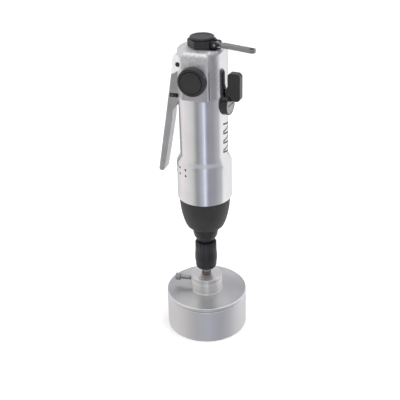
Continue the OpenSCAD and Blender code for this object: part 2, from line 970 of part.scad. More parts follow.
module chuck_lid() {
  edge = 0.5;
  color([0.83, 0.83, 0.84])
    difference() {
      rotate_extrude()
        polygon([
          [0, 24.5], [31, 24.5], [31, lid_z0], [chuck_r - edge, lid_z0], [chuck_r, lid_z0 + edge],
          [chuck_r, lid_z1 - edge], [chuck_r - edge, lid_z1], [hub_r, lid_z1],
          [hub_r, hub_z - edge], [hub_r - edge, hub_z], [0, hub_z]
        ]);
      disc(3.72, 38, hub_z + 1);
      translate([0, 0, 43]) rotate([0, 90, lock_screw_az]) cylinder(r = 2.06, h = 30, $fn = 32);
    }
}

module backing_pad() {
  color([0.30, 0.30, 0.30]) disc(22, 21.6, 24.48);
}

module lock_screw() {
  flutes = 12;
  color([0.66, 0.66, 0.68])
    translate([0, 0, 43])
      rotate([0, 90, lock_screw_az])
        difference() {
          union() {
            disc(2, 3.75, 24.2);
            disc(3.35, 24, 28.6);
          }
          for (i = [0 : flutes - 1])
            rotate(i * 360 / flutes) translate([3.55, 0, 24.6]) cylinder(r = 0.4, h = 5, $fn = 16);
        }
}

module chuck_cup() {
  edge = 0.5;
  lip_edge = 0.3;
  lip_r = 24;
  bore_r = 30;
  thread_r = 31.06;
  color([0.83, 0.83, 0.84])
    rotate_extrude()
      polygon([
        [lip_r + lip_edge, 0], [chuck_r - edge, 0], [chuck_r, edge], [chuck_r, cup_h - edge],
        [chuck_r - edge, cup_h], [thread_r, cup_h], [thread_r, 24], [bore_r, 24], [bore_r, 2.5],
        [lip_r, 2.5], [lip_r, lip_edge]
      ]);
}

module silicone_ring() {
  lead = 3;
  color([0.86, 0.83, 0.76])
    rotate_extrude()
      polygon([
        [cap_r + lead, 2.55], [29.9, 2.55], [29.9, 21.4], [cap_r, 21.4], [cap_r, 6.6]
      ]);
}

housing();
inlet_bushing();
inlet_strainer();
top_cap();
hanger_collar();
hanger_pin();
hanger_arm();
front_cap();
throttle_lever();
lever_pin();
throttle_plunger();
valve_guide();
valve_seal();
valve_spring();
reverse_sleeve();
reverse_spool();
reverse_lever();
reverse_screw();
spool_oring();
motor_gasket();
rear_plate();
rear_bearing();
motor_cylinder();
rotor();
rotor_vanes();
front_plate();
front_bearing();
cylinder_pin();
exhaust_silencer();
ring_gear();
planet_gear_a();
planet_gear_b();
planet_gear_c();
planet_pins();
planet_carrier();
carrier_bearing();
clutch_driver();
clutch_balls();
clutch_plate();
clutch_spring();
adjusting_nut();
clutch_case();
spindle();
spindle_bearing();
nose_cover();
nose_cap();
holder_sleeve();
holder_spring();
holder_ball();
retaining_ring();
hex_bit();
bit_collar();
chuck_lid();
backing_pad();
lock_screw();
chuck_cup();
silicone_ring();
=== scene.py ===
"""Looks of the hand-held pneumatic capping tool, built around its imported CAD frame.

Everything is in the CAD's frame: origin at the centre of the chuck's bottom face, +Z up the tool.
Profiles are written in millimetres and scaled by MM when a mesh is made.
"""

import json
import math

import bmesh
import bpy
import numpy as np
from mathutils import Matrix, Vector


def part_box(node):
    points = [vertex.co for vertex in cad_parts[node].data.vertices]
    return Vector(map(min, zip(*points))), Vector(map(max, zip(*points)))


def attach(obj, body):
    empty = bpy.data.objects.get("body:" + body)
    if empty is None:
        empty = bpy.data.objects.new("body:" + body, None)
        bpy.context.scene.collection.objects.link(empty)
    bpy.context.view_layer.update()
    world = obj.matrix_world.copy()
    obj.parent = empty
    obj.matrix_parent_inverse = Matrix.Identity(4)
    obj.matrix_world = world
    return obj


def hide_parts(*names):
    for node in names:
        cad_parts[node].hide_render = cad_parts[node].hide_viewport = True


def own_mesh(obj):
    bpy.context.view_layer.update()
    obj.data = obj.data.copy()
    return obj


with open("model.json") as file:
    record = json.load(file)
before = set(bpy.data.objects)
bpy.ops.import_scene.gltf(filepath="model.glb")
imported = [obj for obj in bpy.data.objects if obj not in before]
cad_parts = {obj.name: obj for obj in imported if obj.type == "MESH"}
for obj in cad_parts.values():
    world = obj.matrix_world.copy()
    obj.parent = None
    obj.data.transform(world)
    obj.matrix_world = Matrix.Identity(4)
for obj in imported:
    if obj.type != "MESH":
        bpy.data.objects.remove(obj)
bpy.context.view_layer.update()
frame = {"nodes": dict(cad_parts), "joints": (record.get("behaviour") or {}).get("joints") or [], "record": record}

MM = 0.001
NODES = frame["nodes"]
TURNED_STEPS = 192


# ---------- measures in millimetres, from the CAD frame where it gives them ----------

def corners(node):
    """Lowest and highest corner of a CAD node, in millimetres."""
    low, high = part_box(node)
    return Vector(low) / MM, Vector(high) / MM


def joint(name):
    return next(j for j in frame["joints"] if j["name"] == name)


def joint_pos(name):
    """The point a joint turns about, in millimetres."""
    return Vector(joint(name)["pos_m"]) / MM


def joint_axis(name):
    return Vector(joint(name)["axis"]).normalized()


HOUSING_LOW, HOUSING_HIGH = corners("housing")
NOSE_Z = HOUSING_LOW.z
TOP_Z = HOUSING_HIGH.z
MUZZLE_R = HOUSING_HIGH.y
GRIP_R = 20.0
PAD_Y = 22.0
PAD_HALF = 11.6
PAD_Z = 222.5
RIM_R = 4.0
PAD_RIM_R = 3.5
EAR_Y = 10.5
SIDE_PORT_Z = (corners("front_cap")[0].z + corners("front_cap")[1].z) / 2
LEVER_PIN = joint_pos("lever_press")
STEM_Z = (corners("throttle_plunger")[0].z + corners("throttle_plunger")[1].z) / 2
REVERSE_Z = joint_pos("reverse_turn").z
SLOT_HALF = 6.15
HANGER_PIN = joint_pos("hanger_fold")
LOCK_AXIS = joint_axis("lock_screw_turn")
LOCK_SCREW_Z = 43
REVERSE_AXIS = joint_axis("reverse_turn")
REVERSE_TURN = Matrix.Rotation(math.atan2(REVERSE_AXIS.y, REVERSE_AXIS.x), 4, "Z")


# ---------- mesh helpers ----------

def linked(name, data):
    obj = bpy.data.objects.new(name, data)
    bpy.context.scene.collection.objects.link(obj)
    return obj


def new_object(name, points, faces, body, look, stands_for, flat_angle=None):
    """Makes a mesh object from millimetre points, shades it and rides it on a body."""
    mesh = bpy.data.meshes.new(name)
    mesh.from_pydata([tuple(Vector(p) * MM) for p in points], [], faces)
    mesh.validate()
    obj = linked(name, mesh)
    clean_normals(mesh)
    finish_piece(obj, body, look, stands_for, flat_angle)
    return obj


def bare_object(name, points, faces):
    """A mesh object from millimetre points that rides on nothing yet."""
    mesh = bpy.data.meshes.new(name)
    mesh.from_pydata([tuple(Vector(p) * MM) for p in points], [], faces)
    clean_normals(mesh)
    return linked(name, mesh)


def clean_normals(mesh):
    """Points every face outwards."""
    bm = bmesh.new()
    bm.from_mesh(mesh)
    bmesh.ops.recalc_face_normals(bm, faces=bm.faces)
    bm.to_mesh(mesh)
    bm.free()


def finish_piece(obj, body, look, stands_for, flat_angle):
    """Shading, material, body and replaced CAD nodes for a piece whose mesh is ready."""
    mesh = obj.data
    mesh.shade_smooth()
    if flat_angle is not None:
        mesh.set_sharp_from_angle(angle=math.radians(flat_angle))
    obj.data.materials.clear()
    obj.data.materials.append(look)
    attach(obj, body)
    if stands_for:
        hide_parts(*stands_for)


def recut(obj, cutters, body, look, flat_angle):
    """Cuts a finished turned piece and shades it again."""
    obj.modifiers.clear()
    cut(obj, cutters)
    finish_piece(obj, body, look, (), flat_angle)
    weighted(obj)


def fluted(points, depth):
    """Turned points with flutes pressed in; depth takes a point's radius, angle and height."""
    shaped = []
    for x, y, z in points:
        r, a = math.hypot(x, y), math.atan2(y, x)
        r -= depth(r, a, z)
        shaped.append((r * math.cos(a), r * math.sin(a), z))
    return shaped


def weighted(obj):
    """Lets large faces keep their own normals, so that narrow rounds take the whole bend."""
    modifier = obj.modifiers.new("weighted", "WEIGHTED_NORMAL")
    modifier.weight = 80
    modifier.keep_sharp = True


def rounded(path, closed=True, arc_steps=6):
    """A path of (r, z, fillet radius) corners with each corner turned into an arc."""
    points = []
    count = len(path)
    for i, (x, y, fillet) in enumerate(path):
        here = Vector((x, y))
        inner = closed or 0 < i < count - 1
        if fillet <= 0 or not inner:
            points.append((x, y))
            continue
        back = Vector(path[i - 1][:2]) - here
        ahead = Vector(path[(i + 1) % count][:2]) - here
        angle = back.angle(ahead)
        reach = min(fillet / math.tan(angle / 2), back.length * 0.49, ahead.length * 0.49)
        radius = reach * math.tan(angle / 2)
        start = here + back.normalized() * reach
        middle = here + (back.normalized() + ahead.normalized()).normalized() * (radius / math.sin(angle / 2))
        end = here + ahead.normalized() * reach
        first = start - middle
        sweep = first.angle_signed(end - middle)
        for k in range(arc_steps + 1):
            turn = -sweep * k / arc_steps
            c, s = math.cos(turn), math.sin(turn)
            points.append((middle.x + first.x * c - first.y * s, middle.y + first.x * s + first.y * c))
    return points


def lathe_mesh(profile, steps=TURNED_STEPS, turn=None):
    """Points and faces of a closed loop of (r, z) turned about Z. Points on the axis are merged into one."""
    points, rings = [], []
    for r, z in profile:
        if r < 1e-6:
            rings.append([len(points)] * steps)
            points.append((0, 0, z))
            continue
        first = len(points)
        for k in range(steps):
            a = 2 * math.pi * k / steps
            points.append((r * math.cos(a), r * math.sin(a), z))
        rings.append(list(range(first, first + steps)))
    faces = []
    count = len(profile)
    for i in range(count):
        low, high = rings[i], rings[(i + 1) % count]
        if low[0] == low[-1] and high[0] == high[-1]:
            continue
        for k in range(steps):
            n = (k + 1) % steps
            faces.append(list(dict.fromkeys([low[k], low[n], high[n], high[k]])))
    if turn is not None:
        points = [turn @ Vector(p) for p in points]
    return points, faces


def turned(name, path, body, look, stands_for, arc_steps=6, steps=TURNED_STEPS, turn=None):
    """A turned piece from a closed path of (r, z, fillet) corners."""
    points, faces = lathe_mesh(rounded(path, True, arc_steps), steps, turn)
    obj = new_object(name, points, faces, body, look, stands_for)
    weighted(obj)
    return obj


def turned_raw(name, profile, body, look, stands_for, flat_angle):
    """A turned piece from finished (r, z) points."""
    points, faces = lathe_mesh(profile)
    weighted(new_object(name, points, faces, body, look, stands_for, flat_angle))


def prism_bm(outline, z0, z1):
    """A bmesh prism of a millimetre outline between two heights, in metres."""
    bm = bmesh.new()
    low = [bm.verts.new((x * MM, y * MM, z0 * MM)) for x, y in outline]
    high = [bm.verts.new((x * MM, y * MM, z1 * MM)) for x, y in outline]
    bm.faces.new(list(reversed(low)))
    bm.faces.new(high)
    count = len(outline)
    for i in range(count):
        j = (i + 1) % count
        bm.faces.new([low[i], low[j], high[j], high[i]])
    return bm


def object_from_bm(name, bm):
    mesh = bpy.data.meshes.new(name)
    bmesh.ops.recalc_face_normals(bm, faces=bm.faces)
    bm.to_mesh(mesh)
    bm.free()
    return linked(name, mesh)


def plate(name, outline, z0, z1, turn=None):
    """An extruded outline as an object that rides on nothing yet."""
    obj = object_from_bm(name, prism_bm(outline, z0, z1))
    if turn is not None:
        obj.data.transform(turn)
    return obj


def rod(name, start, end, radius, steps=48):
    """A straight round bar between two millimetre points, as a cutter or a simple solid."""
    axis = Vector(end) - Vector(start)
    bm = bmesh.new()
    bmesh.ops.create_cone(
        bm, cap_ends=True, segments=steps, radius1=radius * MM, radius2=radius * MM, depth=axis.length * MM
    )
    spin = Vector((0, 0, 1)).rotation_difference(axis.normalized()).to_matrix().to_4x4()
    place = Matrix.Translation((Vector(start) + axis / 2) * MM) @ spin
    bmesh.ops.transform(bm, matrix=place, verts=bm.verts)
    return object_from_bm(name, bm)


def block(name, low, high):
    """A box cutter between two millimetre corners."""
    low, high = Vector(low), Vector(high)
    outline = [(low.x, low.y), (high.x, low.y), (high.x, high.y), (low.x, high.y)]
    return plate(name, outline, low.z, high.z)


def apply_modifiers(obj):
    """Bakes an object's modifiers into its mesh."""
    graph = bpy.context.evaluated_depsgraph_get()
    mesh = bpy.data.meshes.new_from_object(obj.evaluated_get(graph))
    obj.modifiers.clear()
    obj.data = mesh


def cut(obj, cutters, operation="DIFFERENCE"):
    """Subtracts each cutter from obj and removes the cutters."""
    for tool in cutters:
        modifier = obj.modifiers.new("cut", "BOOLEAN")
        modifier.operation = operation
        modifier.solver = "EXACT"
        modifier.object = tool
        apply_modifiers(obj)
        bpy.data.objects.remove(tool)


def soften(obj, width, segments, angle=35):
    """Rounds the edges of a machined or cast piece."""
    modifier = obj.modifiers.new("edge round", "BEVEL")
    modifier.width = width * MM
    modifier.segments = segments
    modifier.limit_method = "ANGLE"
    modifier.angle_limit = math.radians(angle)
    modifier.harden_normals = False
    modifier.miter_outer = "MITER_ARC"
    apply_modifiers(obj)


# ---------- material helpers ----------


class Look:
    """A procedural material under construction."""

    def __init__(self, name, slot):
        self.material = bpy.data.materials.new(name)
        self.material.use_nodes = True
        self.tree = self.material.node_tree
        self.shader = self.tree.nodes["Principled BSDF"]
        self.place = self.node("ShaderNodeTexCoord").outputs["Object"]

    def node(self, kind, **settings):
        made = self.tree.nodes.new(kind)
        for key, value in settings.items():
            setattr(made, key, value)
        return made

    def link(self, a, b):
        self.tree.links.new(a, b)

    def stretched(self, scale):
        mapping = self.node("ShaderNodeMapping")
        mapping.inputs["Scale"].default_value = scale
        self.link(self.place, mapping.inputs["Vector"])
        return mapping.outputs["Vector"]

    def noise(self, scale, detail, stretch=None, roughness=0.5):
        texture = self.node("ShaderNodeTexNoise")
        texture.inputs["Scale"].default_value = scale
        texture.inputs["Detail"].default_value = detail
        texture.inputs["Roughness"].default_value = roughness
        self.link(self.stretched(stretch) if stretch else self.place, texture.inputs["Vector"])
        return texture.outputs["Fac"]

    def ramp(self, source, low, high, start=0.35, end=0.65):
        """Maps a 0 to 1 value onto a colour or number range."""
        ramp = self.node("ShaderNodeMapRange")
        ramp.inputs["From Min"].default_value = start
        ramp.inputs["From Max"].default_value = end
        ramp.inputs["To Min"].default_value = low
        ramp.inputs["To Max"].default_value = high
        self.link(source, ramp.inputs["Value"])
        return ramp.outputs["Result"]

    def blend_colours(self, factor, a, b):
        mix = self.node("ShaderNodeMix", data_type="RGBA")
        self.link(factor, mix.inputs["Factor"])
        for socket, value in ((mix.inputs[6], a), (mix.inputs[7], b)):
            if isinstance(value, tuple):
                socket.default_value = (*value, 1)
            else:
                self.link(value, socket)
        return mix.outputs[2]

    def blend_values(self, factor, a, b):
        mix = self.node("ShaderNodeMix", data_type="FLOAT")
        self.link(factor, mix.inputs["Factor"])
        for socket, value in ((mix.inputs[2], a), (mix.inputs[3], b)):
            if isinstance(value, float):
                socket.default_value = value
            else:
                self.link(value, socket)
        return mix.outputs[0]

    def bump(self, height, strength, distance, under=None):
        bump = self.node("ShaderNodeBump")
        bump.inputs["Strength"].default_value = strength
        bump.inputs["Distance"].default_value = distance * MM
        self.link(height, bump.inputs["Height"])
        if under is not None:
            self.link(under, bump.inputs["Normal"])
        return bump.outputs["Normal"]

    def math(self, operation, a, b=None):
        step = self.node("ShaderNodeMath", operation=operation)
        for socket, value in zip(step.inputs, (a, b)):
            if value is None:
                continue
            if isinstance(value, (int, float)):
                socket.default_value = value
            else:
                self.link(value, socket)
        return step.outputs[0]

    def radius(self):
        """Distance from the tool axis, in metres."""
        split = self.node("ShaderNodeSeparateXYZ")
        self.link(self.place, split.inputs[0])
        x_squared = self.math("POWER", split.outputs[0], 2.0)
        y_squared = self.math("POWER", split.outputs[1], 2.0)
        return self.math("SQRT", self.math("ADD", x_squared, y_squared))

    def height(self):
        split = self.node("ShaderNodeSeparateXYZ")
        self.link(self.place, split.inputs[0])
        return split.outputs[2]

    def set(self, **values):
        for key, value in values.items():
            socket = self.shader.inputs[key.replace("_", " ")]
            if isinstance(value, (int, float)):
                socket.default_value = value
            elif isinstance(value, tuple):
                socket.default_value = (*value, 1)
            else:
                self.link(value, socket)


def grained(name, slot, light, dark, metal, rough, scale, stretch=None, bump=0.15, depth=0.05, coat=0.0):
    """The common recipe: two close colours, a roughness range and a fine bump from the same grain."""
    look = Look(name, slot)
    grain = look.noise(scale, 5.0, stretch)
    drift = look.noise(60.0, 3.0)
    look.set(
        Base_Color=look.blend_colours(look.ramp(drift, 0.0, 1.0), dark, light),
        Metallic=float(metal),
        Roughness=look.ramp(grain, rough[0], rough[1], 0.25, 0.75),
        Normal=look.bump(grain, bump, depth),
        Coat_Weight=coat,
    )
    return look.material


def make_polished_alloy():
    """Polished grip with upright wipe marks; mesh attributes turn it into cast skin, painted shade or milled
    metal.
    """
    look = Look("polished_alloy", "cast_alu")
    skin, painted_shade, milled = (
        look.node("ShaderNodeAttribute", attribute_name=name).outputs["Fac"]
        for name in ("cast_skin", "painted_shade", "milled")
    )
    wipe = look.noise(900.0, 3.0, (1.0, 1.0, 0.06))
    haze = look.noise(45.0, 4.0)
    sand = look.noise(1500.0, 6.0, roughness=0.75)
    clumps = look.noise(520.0, 3.0)
    grit = look.math("ADD", look.math("MULTIPLY", sand, 0.6), look.math("MULTIPLY", clumps, 0.4))
    metal = look.blend_colours(look.ramp(haze, 0.0, 1.0), (0.80, 0.80, 0.82), (0.87, 0.87, 0.89))
    cast = look.blend_colours(look.ramp(grit, 0.0, 1.0, 0.38, 0.62), (0.68, 0.67, 0.68), (0.98, 0.97, 0.98))
    # Painted shade: the second mask greys the metal along the pad's right side and lower ledge, where shade and
    # dark reflection fall.
    with_painted_shade = look.blend_colours(painted_shade, look.blend_colours(skin, metal, cast), (0.30, 0.30, 0.31))
    smooth_rough = look.math("ADD", look.ramp(wipe, 0.10, 0.17), look.ramp(haze, 0.0, 0.05))
    fine = look.bump(wipe, 0.04, 0.02)
    look.set(
        Base_Color=look.blend_colours(milled, with_painted_shade, (0.92, 0.92, 0.93)),
        Metallic=look.blend_values(milled, 1.0, 0.25),
        Roughness=look.blend_values(skin, smooth_rough, look.ramp(grit, 0.42, 0.62)),
        Normal=look.bump(look.math("MULTIPLY", grit, skin), 0.9, 0.35, fine),
    )
    return look.material


def make_turned_alloy():
    """Lathe-turned aluminium: satin with hair-fine rings, and a brighter polished side on the hub."""
    look = Look("turned_alloy", "turned_alu")
    ring_pitch = 0.00028
    radius = look.radius()
    height = look.height()
    path = look.math("ADD", radius, height)
    rings = look.math("SINE", look.math("MULTIPLY", path, 2 * math.pi / ring_pitch))
    coarse = look.noise(300.0, 2.0, (0.0, 0.0, 1.0))
    haze = look.noise(40.0, 4.0)
    on_top = look.ramp(height, 0.0, 1.0, 0.0500, 0.0503)
    satin = look.math("MAXIMUM", look.ramp(radius, 0.0, 1.0, 0.0142, 0.0148), on_top)
    tangent = look.node("ShaderNodeTangent", direction_type="RADIAL", axis="Z").outputs["Tangent"]
    bands = look.ramp(coarse, 0.0, 1.0, 0.40, 0.60)
    rim_start = look.ramp(radius, 0.0, 1.0, 0.03500, 0.03516)
    rim = look.math("MULTIPLY", rim_start, look.ramp(radius, 1.0, 0.0, 0.03560, 0.03567))
    dull = look.blend_colours(look.ramp(haze, 0.0, 1.0), (0.60, 0.60, 0.61), (0.68, 0.68, 0.69))
    # Painted light: the hub's top face gets a lighter colour than the satin lid, to offset the dark reflection of
    # the sleeve above it.
    dull = look.blend_colours(on_top, dull, (0.84, 0.84, 0.85))
    side = look.ramp(radius, 0.0, 1.0, 0.03566, 0.03569)
    # Partly painted highlight: the rim chamfer is polished (lower roughness) and is also given a near-white colour
    # so that it shows as a bright line.
    dull = look.blend_colours(side, look.blend_colours(rim, dull, (0.99, 0.99, 1.0)), (0.76, 0.76, 0.77))
    bright = look.blend_colours(bands, (0.80, 0.78, 0.73), (0.98, 0.98, 0.99))
    rough = look.blend_values(rim, look.blend_values(satin, 0.40, 0.36), 0.20)
    rough = look.blend_values(side, rough, 0.52)
    uneven = look.math("ADD", look.ramp(haze, 0.0, 0.05), look.ramp(coarse, 0.0, 0.04))
    look.set(
        Base_Color=look.blend_colours(satin, bright, dull),
        Metallic=1.0,
        Roughness=look.math("ADD", rough, uneven),
        Anisotropic=look.blend_values(side, look.blend_values(satin, 1.0, 0.85), 0.3),
        Anisotropic_Rotation=0.25,
        Normal=look.bump(rings, 0.05, 0.01),
    )
    look.link(tangent, look.shader.inputs["Tangent"])
    return look.material


def make_nose_rubber():
    look = Look("nose_rubber", "rubber")
    grain = look.noise(1400.0, 4.0)
    dust = look.noise(70.0, 5.0)
    look.set(
        Base_Color=look.blend_colours(
            look.ramp(dust, 0.0, 1.0), (0.014, 0.014, 0.0135), (0.024, 0.024, 0.023)
        ),
        Roughness=look.ramp(dust, 0.48, 0.58),
        Sheen_Weight=0.04,
        Sheen_Roughness=0.5,
        Normal=look.bump(grain, 0.12, 0.05),
    )
    return look.material


def make_silicone():
    look = Look("silicone_cream", "silicone")
    cloud = look.noise(90.0, 4.0)
    look.set(
        Base_Color=look.blend_colours(look.ramp(cloud, 0.0, 1.0), (0.80, 0.77, 0.70), (0.88, 0.85, 0.79)),
        Roughness=look.ramp(cloud, 0.38, 0.5),
        Subsurface_Weight=0.2,
        Subsurface_Scale=0.004,
        Normal=look.bump(look.noise(900.0, 3.0), 0.1, 0.04),
    )
    return look.material


LOOKS = {
    "cast_alu": make_polished_alloy(),
    "turned_alu": make_turned_alloy(),
    "rubber": make_nose_rubber(),
    "silicone": make_silicone(),
    "black_steel": grained(
        "black_oxide", "black_steel", (0.036, 0.036, 0.039), (0.022, 0.022, 0.024), 0.5, (0.30, 0.42), 1100.0
    ),
    "black_plastic": grained(
        "moulded_black", "black_plastic", (0.022, 0.022, 0.023), (0.015, 0.015, 0.016), 0.0, (0.30, 0.42),
        1500.0, bump=0.2,
    ),
    "gloss_black": grained(
        "gloss_black", "gloss_black", (0.013, 0.013, 0.014), (0.009, 0.009, 0.010), 0.0, (0.14, 0.22), 700.0,
        bump=0.05, coat=0.15,
    ),
    "lever_steel": grained(
        "brushed_lever", "lever_steel", (0.63, 0.63, 0.64), (0.53, 0.53, 0.54), 1.0, (0.24, 0.40), 1600.0,
        (1.0, 1.0, 0.03), 0.12, 0.04,
    ),
    "steel": grained(
        "ground_steel", "steel", (0.40, 0.40, 0.41), (0.30, 0.30, 0.31), 1.0, (0.22, 0.36), 1300.0,
        (1.0, 1.0, 0.1),
    ),
    "bearing_steel": grained(
        "bearing_steel", "bearing_steel", (0.78, 0.78, 0.80), (0.66, 0.66, 0.68), 1.0, (0.08, 0.16), 500.0
    ),
    "spring_steel": grained(
        "spring_wire", "spring_steel", (0.50, 0.50, 0.52), (0.38, 0.38, 0.40), 1.0, (0.20, 0.34), 900.0
    ),
    "brass": grained(
        "turned_brass", "brass", (0.72, 0.56, 0.26), (0.56, 0.42, 0.20), 1.0, (0.22, 0.36), 900.0
    ),
    "brass_mesh": grained(
        "drawn_brass", "brass_mesh", (0.68, 0.60, 0.40), (0.5, 0.43, 0.3), 1.0, (0.3, 0.5), 2000.0
    ),
    "bronze": grained(
        "copper_brown", "bronze", (0.27, 0.170, 0.155), (0.17, 0.115, 0.105), 0.8, (0.28, 0.45), 1200.0
    ),
    "iron": grained("ground_iron", "iron", (0.42, 0.42, 0.43), (0.34, 0.34, 0.35), 1.0, (0.30, 0.45), 900.0),
    "gasket": grained(
        "fibre_gasket", "gasket", (0.32, 0.27, 0.20), (0.22, 0.18, 0.13), 0.0, (0.7, 0.9), 1500.0
    ),
    "phenolic": grained(
        "phenolic_vane", "phenolic", (0.38, 0.22, 0.12), (0.26, 0.14, 0.07), 0.0, (0.4, 0.6), 1500.0,
        (1.0, 1.0, 0.1),
    ),
    "felt": grained(
        "felt_ring", "felt", (0.60, 0.58, 0.50), (0.42, 0.40, 0.34), 0.0, (0.85, 1.0), 2500.0, bump=0.8
    ),
}

SLOT_OF_NODE = {s["node"]: s["material_slot"] for s in frame["record"]["subparts"]}
for node_name, cad_object in NODES.items():
    cad_object.data.materials.clear()
    cad_object.data.materials.append(LOOKS[SLOT_OF_NODE[node_name]])


# ---------- housing: one casting with its port pad, lever ears, bores and exhaust holes ----------

HOUSING_STEPS = 384
FLARE_Z, FLARE_RISE = 162.6, 8.0
MOUTH_EDGE = 0.8
PAD_LEDGE = 1.2
PAD_CORNER = 2.4
CAST_FILLET = 1.6
EXHAUST_ROWS = (156.3, 161.8)
EXHAUST_COUNT, EXHAUST_FIRST, EXHAUST_PITCH = 6, -90 - 23.2, 18.3


def body_radius(z):
    """Radius of the round part of the housing: chamfered mouth, muzzle, soft flare, grip and rounded top."""
    r = np.full_like(z, GRIP_R)
    flare = np.clip((z - FLARE_Z) / FLARE_RISE, 0, 1)
    r += (MUZZLE_R - GRIP_R) * (1 - flare * flare * (3 - 2 * flare))
    r -= np.clip(MOUTH_EDGE - (z - NOSE_Z), 0, MOUTH_EDGE)
    rim = np.clip(z - (TOP_Z - RIM_R), 0, RIM_R)
    return r - (RIM_R - np.sqrt(RIM_R * RIM_R - rim * rim))


def pad_inset(z):
    """How far the port pad draws back near its lower ledge and its top edge."""
    low = np.clip(PAD_LEDGE - (z - PAD_Z), 0, PAD_LEDGE)
    top = np.clip(z - (TOP_Z - PAD_RIM_R), 0, PAD_RIM_R)
    ledge = PAD_LEDGE - np.sqrt(PAD_LEDGE * PAD_LEDGE - low * low)
    return ledge + (PAD_RIM_R - np.sqrt(PAD_RIM_R * PAD_RIM_R - top * top))


def housing_distance(x, y, z, with_pad):
    """Signed distance to the housing's section, with a cast fillet where the pad meets the round body."""
    body = np.hypot(x, y) - body_radius(z)
    inset = pad_inset(z)
    qx = np.abs(x) - (PAD_HALF - PAD_CORNER - inset)
    qy = np.abs(y + PAD_Y / 2) - (PAD_Y / 2 - PAD_CORNER - inset)
    pad = np.hypot(np.maximum(qx, 0), np.maximum(qy, 0)) + np.minimum(np.maximum(qx, qy), 0) - PAD_CORNER
    share = np.clip(0.5 + 0.5 * (pad - body) / CAST_FILLET, 0, 1)
    merged = pad * (1 - share) + body * share - CAST_FILLET * share * (1 - share)
    return np.where(with_pad, merged, body)


def housing_skin():
    """The outside as a closed mesh on a polar grid, found by closing in on the surface along each ray."""
    lower = list(np.linspace(NOSE_Z, NOSE_Z + MOUTH_EDGE, 4)) + list(np.linspace(132, FLARE_Z, 22))
    lower += list(np.linspace(163.2, 171, 16)) + list(np.linspace(173, PAD_Z, 34))
    pad = list(PAD_Z + PAD_LEDGE * (1 - np.cos(np.linspace(0, math.pi / 2, 7))))
    pad += list(np.linspace(PAD_Z + 2.2, TOP_Z - RIM_R - 0.4, 26))
    pad += list(TOP_Z - RIM_R + RIM_R * np.sin(np.linspace(0, math.pi / 2, 14)))
    rows = np.array(lower + pad)
    with_pad = np.array([False] * len(lower) + [True] * len(pad))[:, None]
    angle = np.arange(HOUSING_STEPS) * 2 * math.pi / HOUSING_STEPS
    z = np.repeat(rows[:, None], HOUSING_STEPS, 1)
    near = np.full_like(z, 5.0)
    far = np.full_like(z, 40.0)
    halvings = 36
    for _ in range(halvings):
        mid = (near + far) / 2
        inside = housing_distance(mid * np.cos(angle), mid * np.sin(angle), z, with_pad) < 0
        near = np.where(inside, mid, near)
        far = np.where(inside, far, mid)
    rings = [
        [(r * math.cos(a), r * math.sin(a), h) for r, a in zip(row, angle)]
        for row, h in zip(near, rows)
    ]
    rim = rings[-1]
    for share in (0.86, 0.7, 0.5, 0.3):
        rings.append([(x * share, y * share, TOP_Z) for x, y, _ in rim])
        rings.insert(0, [(x * share, y * share, NOSE_Z) for x, y, _ in rings[0]])
    points = [p for ring in rings for p in ring]
    faces = []
    n = HOUSING_STEPS
    for i in range(len(rings) - 1):
        for k in range(n):
            m = (k + 1) % n
            faces.append([i * n + k, i * n + m, (i + 1) * n + m, (i + 1) * n + k])
    for ring, centre in ((0, (0, 0, NOSE_Z)), (len(rings) - 1, (0, 0, TOP_Z))):
        points.append(centre)
        faces += [[ring * n + k, ring * n + (k + 1) % n, len(points) - 1] for k in range(n)]
    return points, faces


def lathe_cutter(path, turn=None, steps=96):
    """A turned cutter from (r, z) points that start and end on the axis."""
    return bare_object("cutter", *lathe_mesh(path, steps, turn))


def joined(objects):
    """Several separate cutters as one object."""
    bm = bmesh.new()
    for obj in objects:
        bm.from_mesh(obj.data)
        bpy.data.objects.remove(obj)
    return object_from_bm("cutter", bm)


ALONG_X = Matrix.Rotation(math.radians(90), 4, "Y")
UPRIGHT = Matrix.Rotation(math.radians(90), 4, "X")


def side_on(turn, height):
    return Matrix.Translation((0, 0, height)) @ turn


def exhaust_cutter():
    holes = []
    for row in EXHAUST_ROWS:
        for i in range(EXHAUST_COUNT):
            a = math.radians(EXHAUST_FIRST - EXHAUST_PITCH * i)
            out = Vector((math.cos(a), math.sin(a), 0))
            lift = Vector((0, 0, row))
            holes.append(rod("hole", out * 17.5 + lift, out * 26 + lift, 1.0, 32))
    return joined(holes)


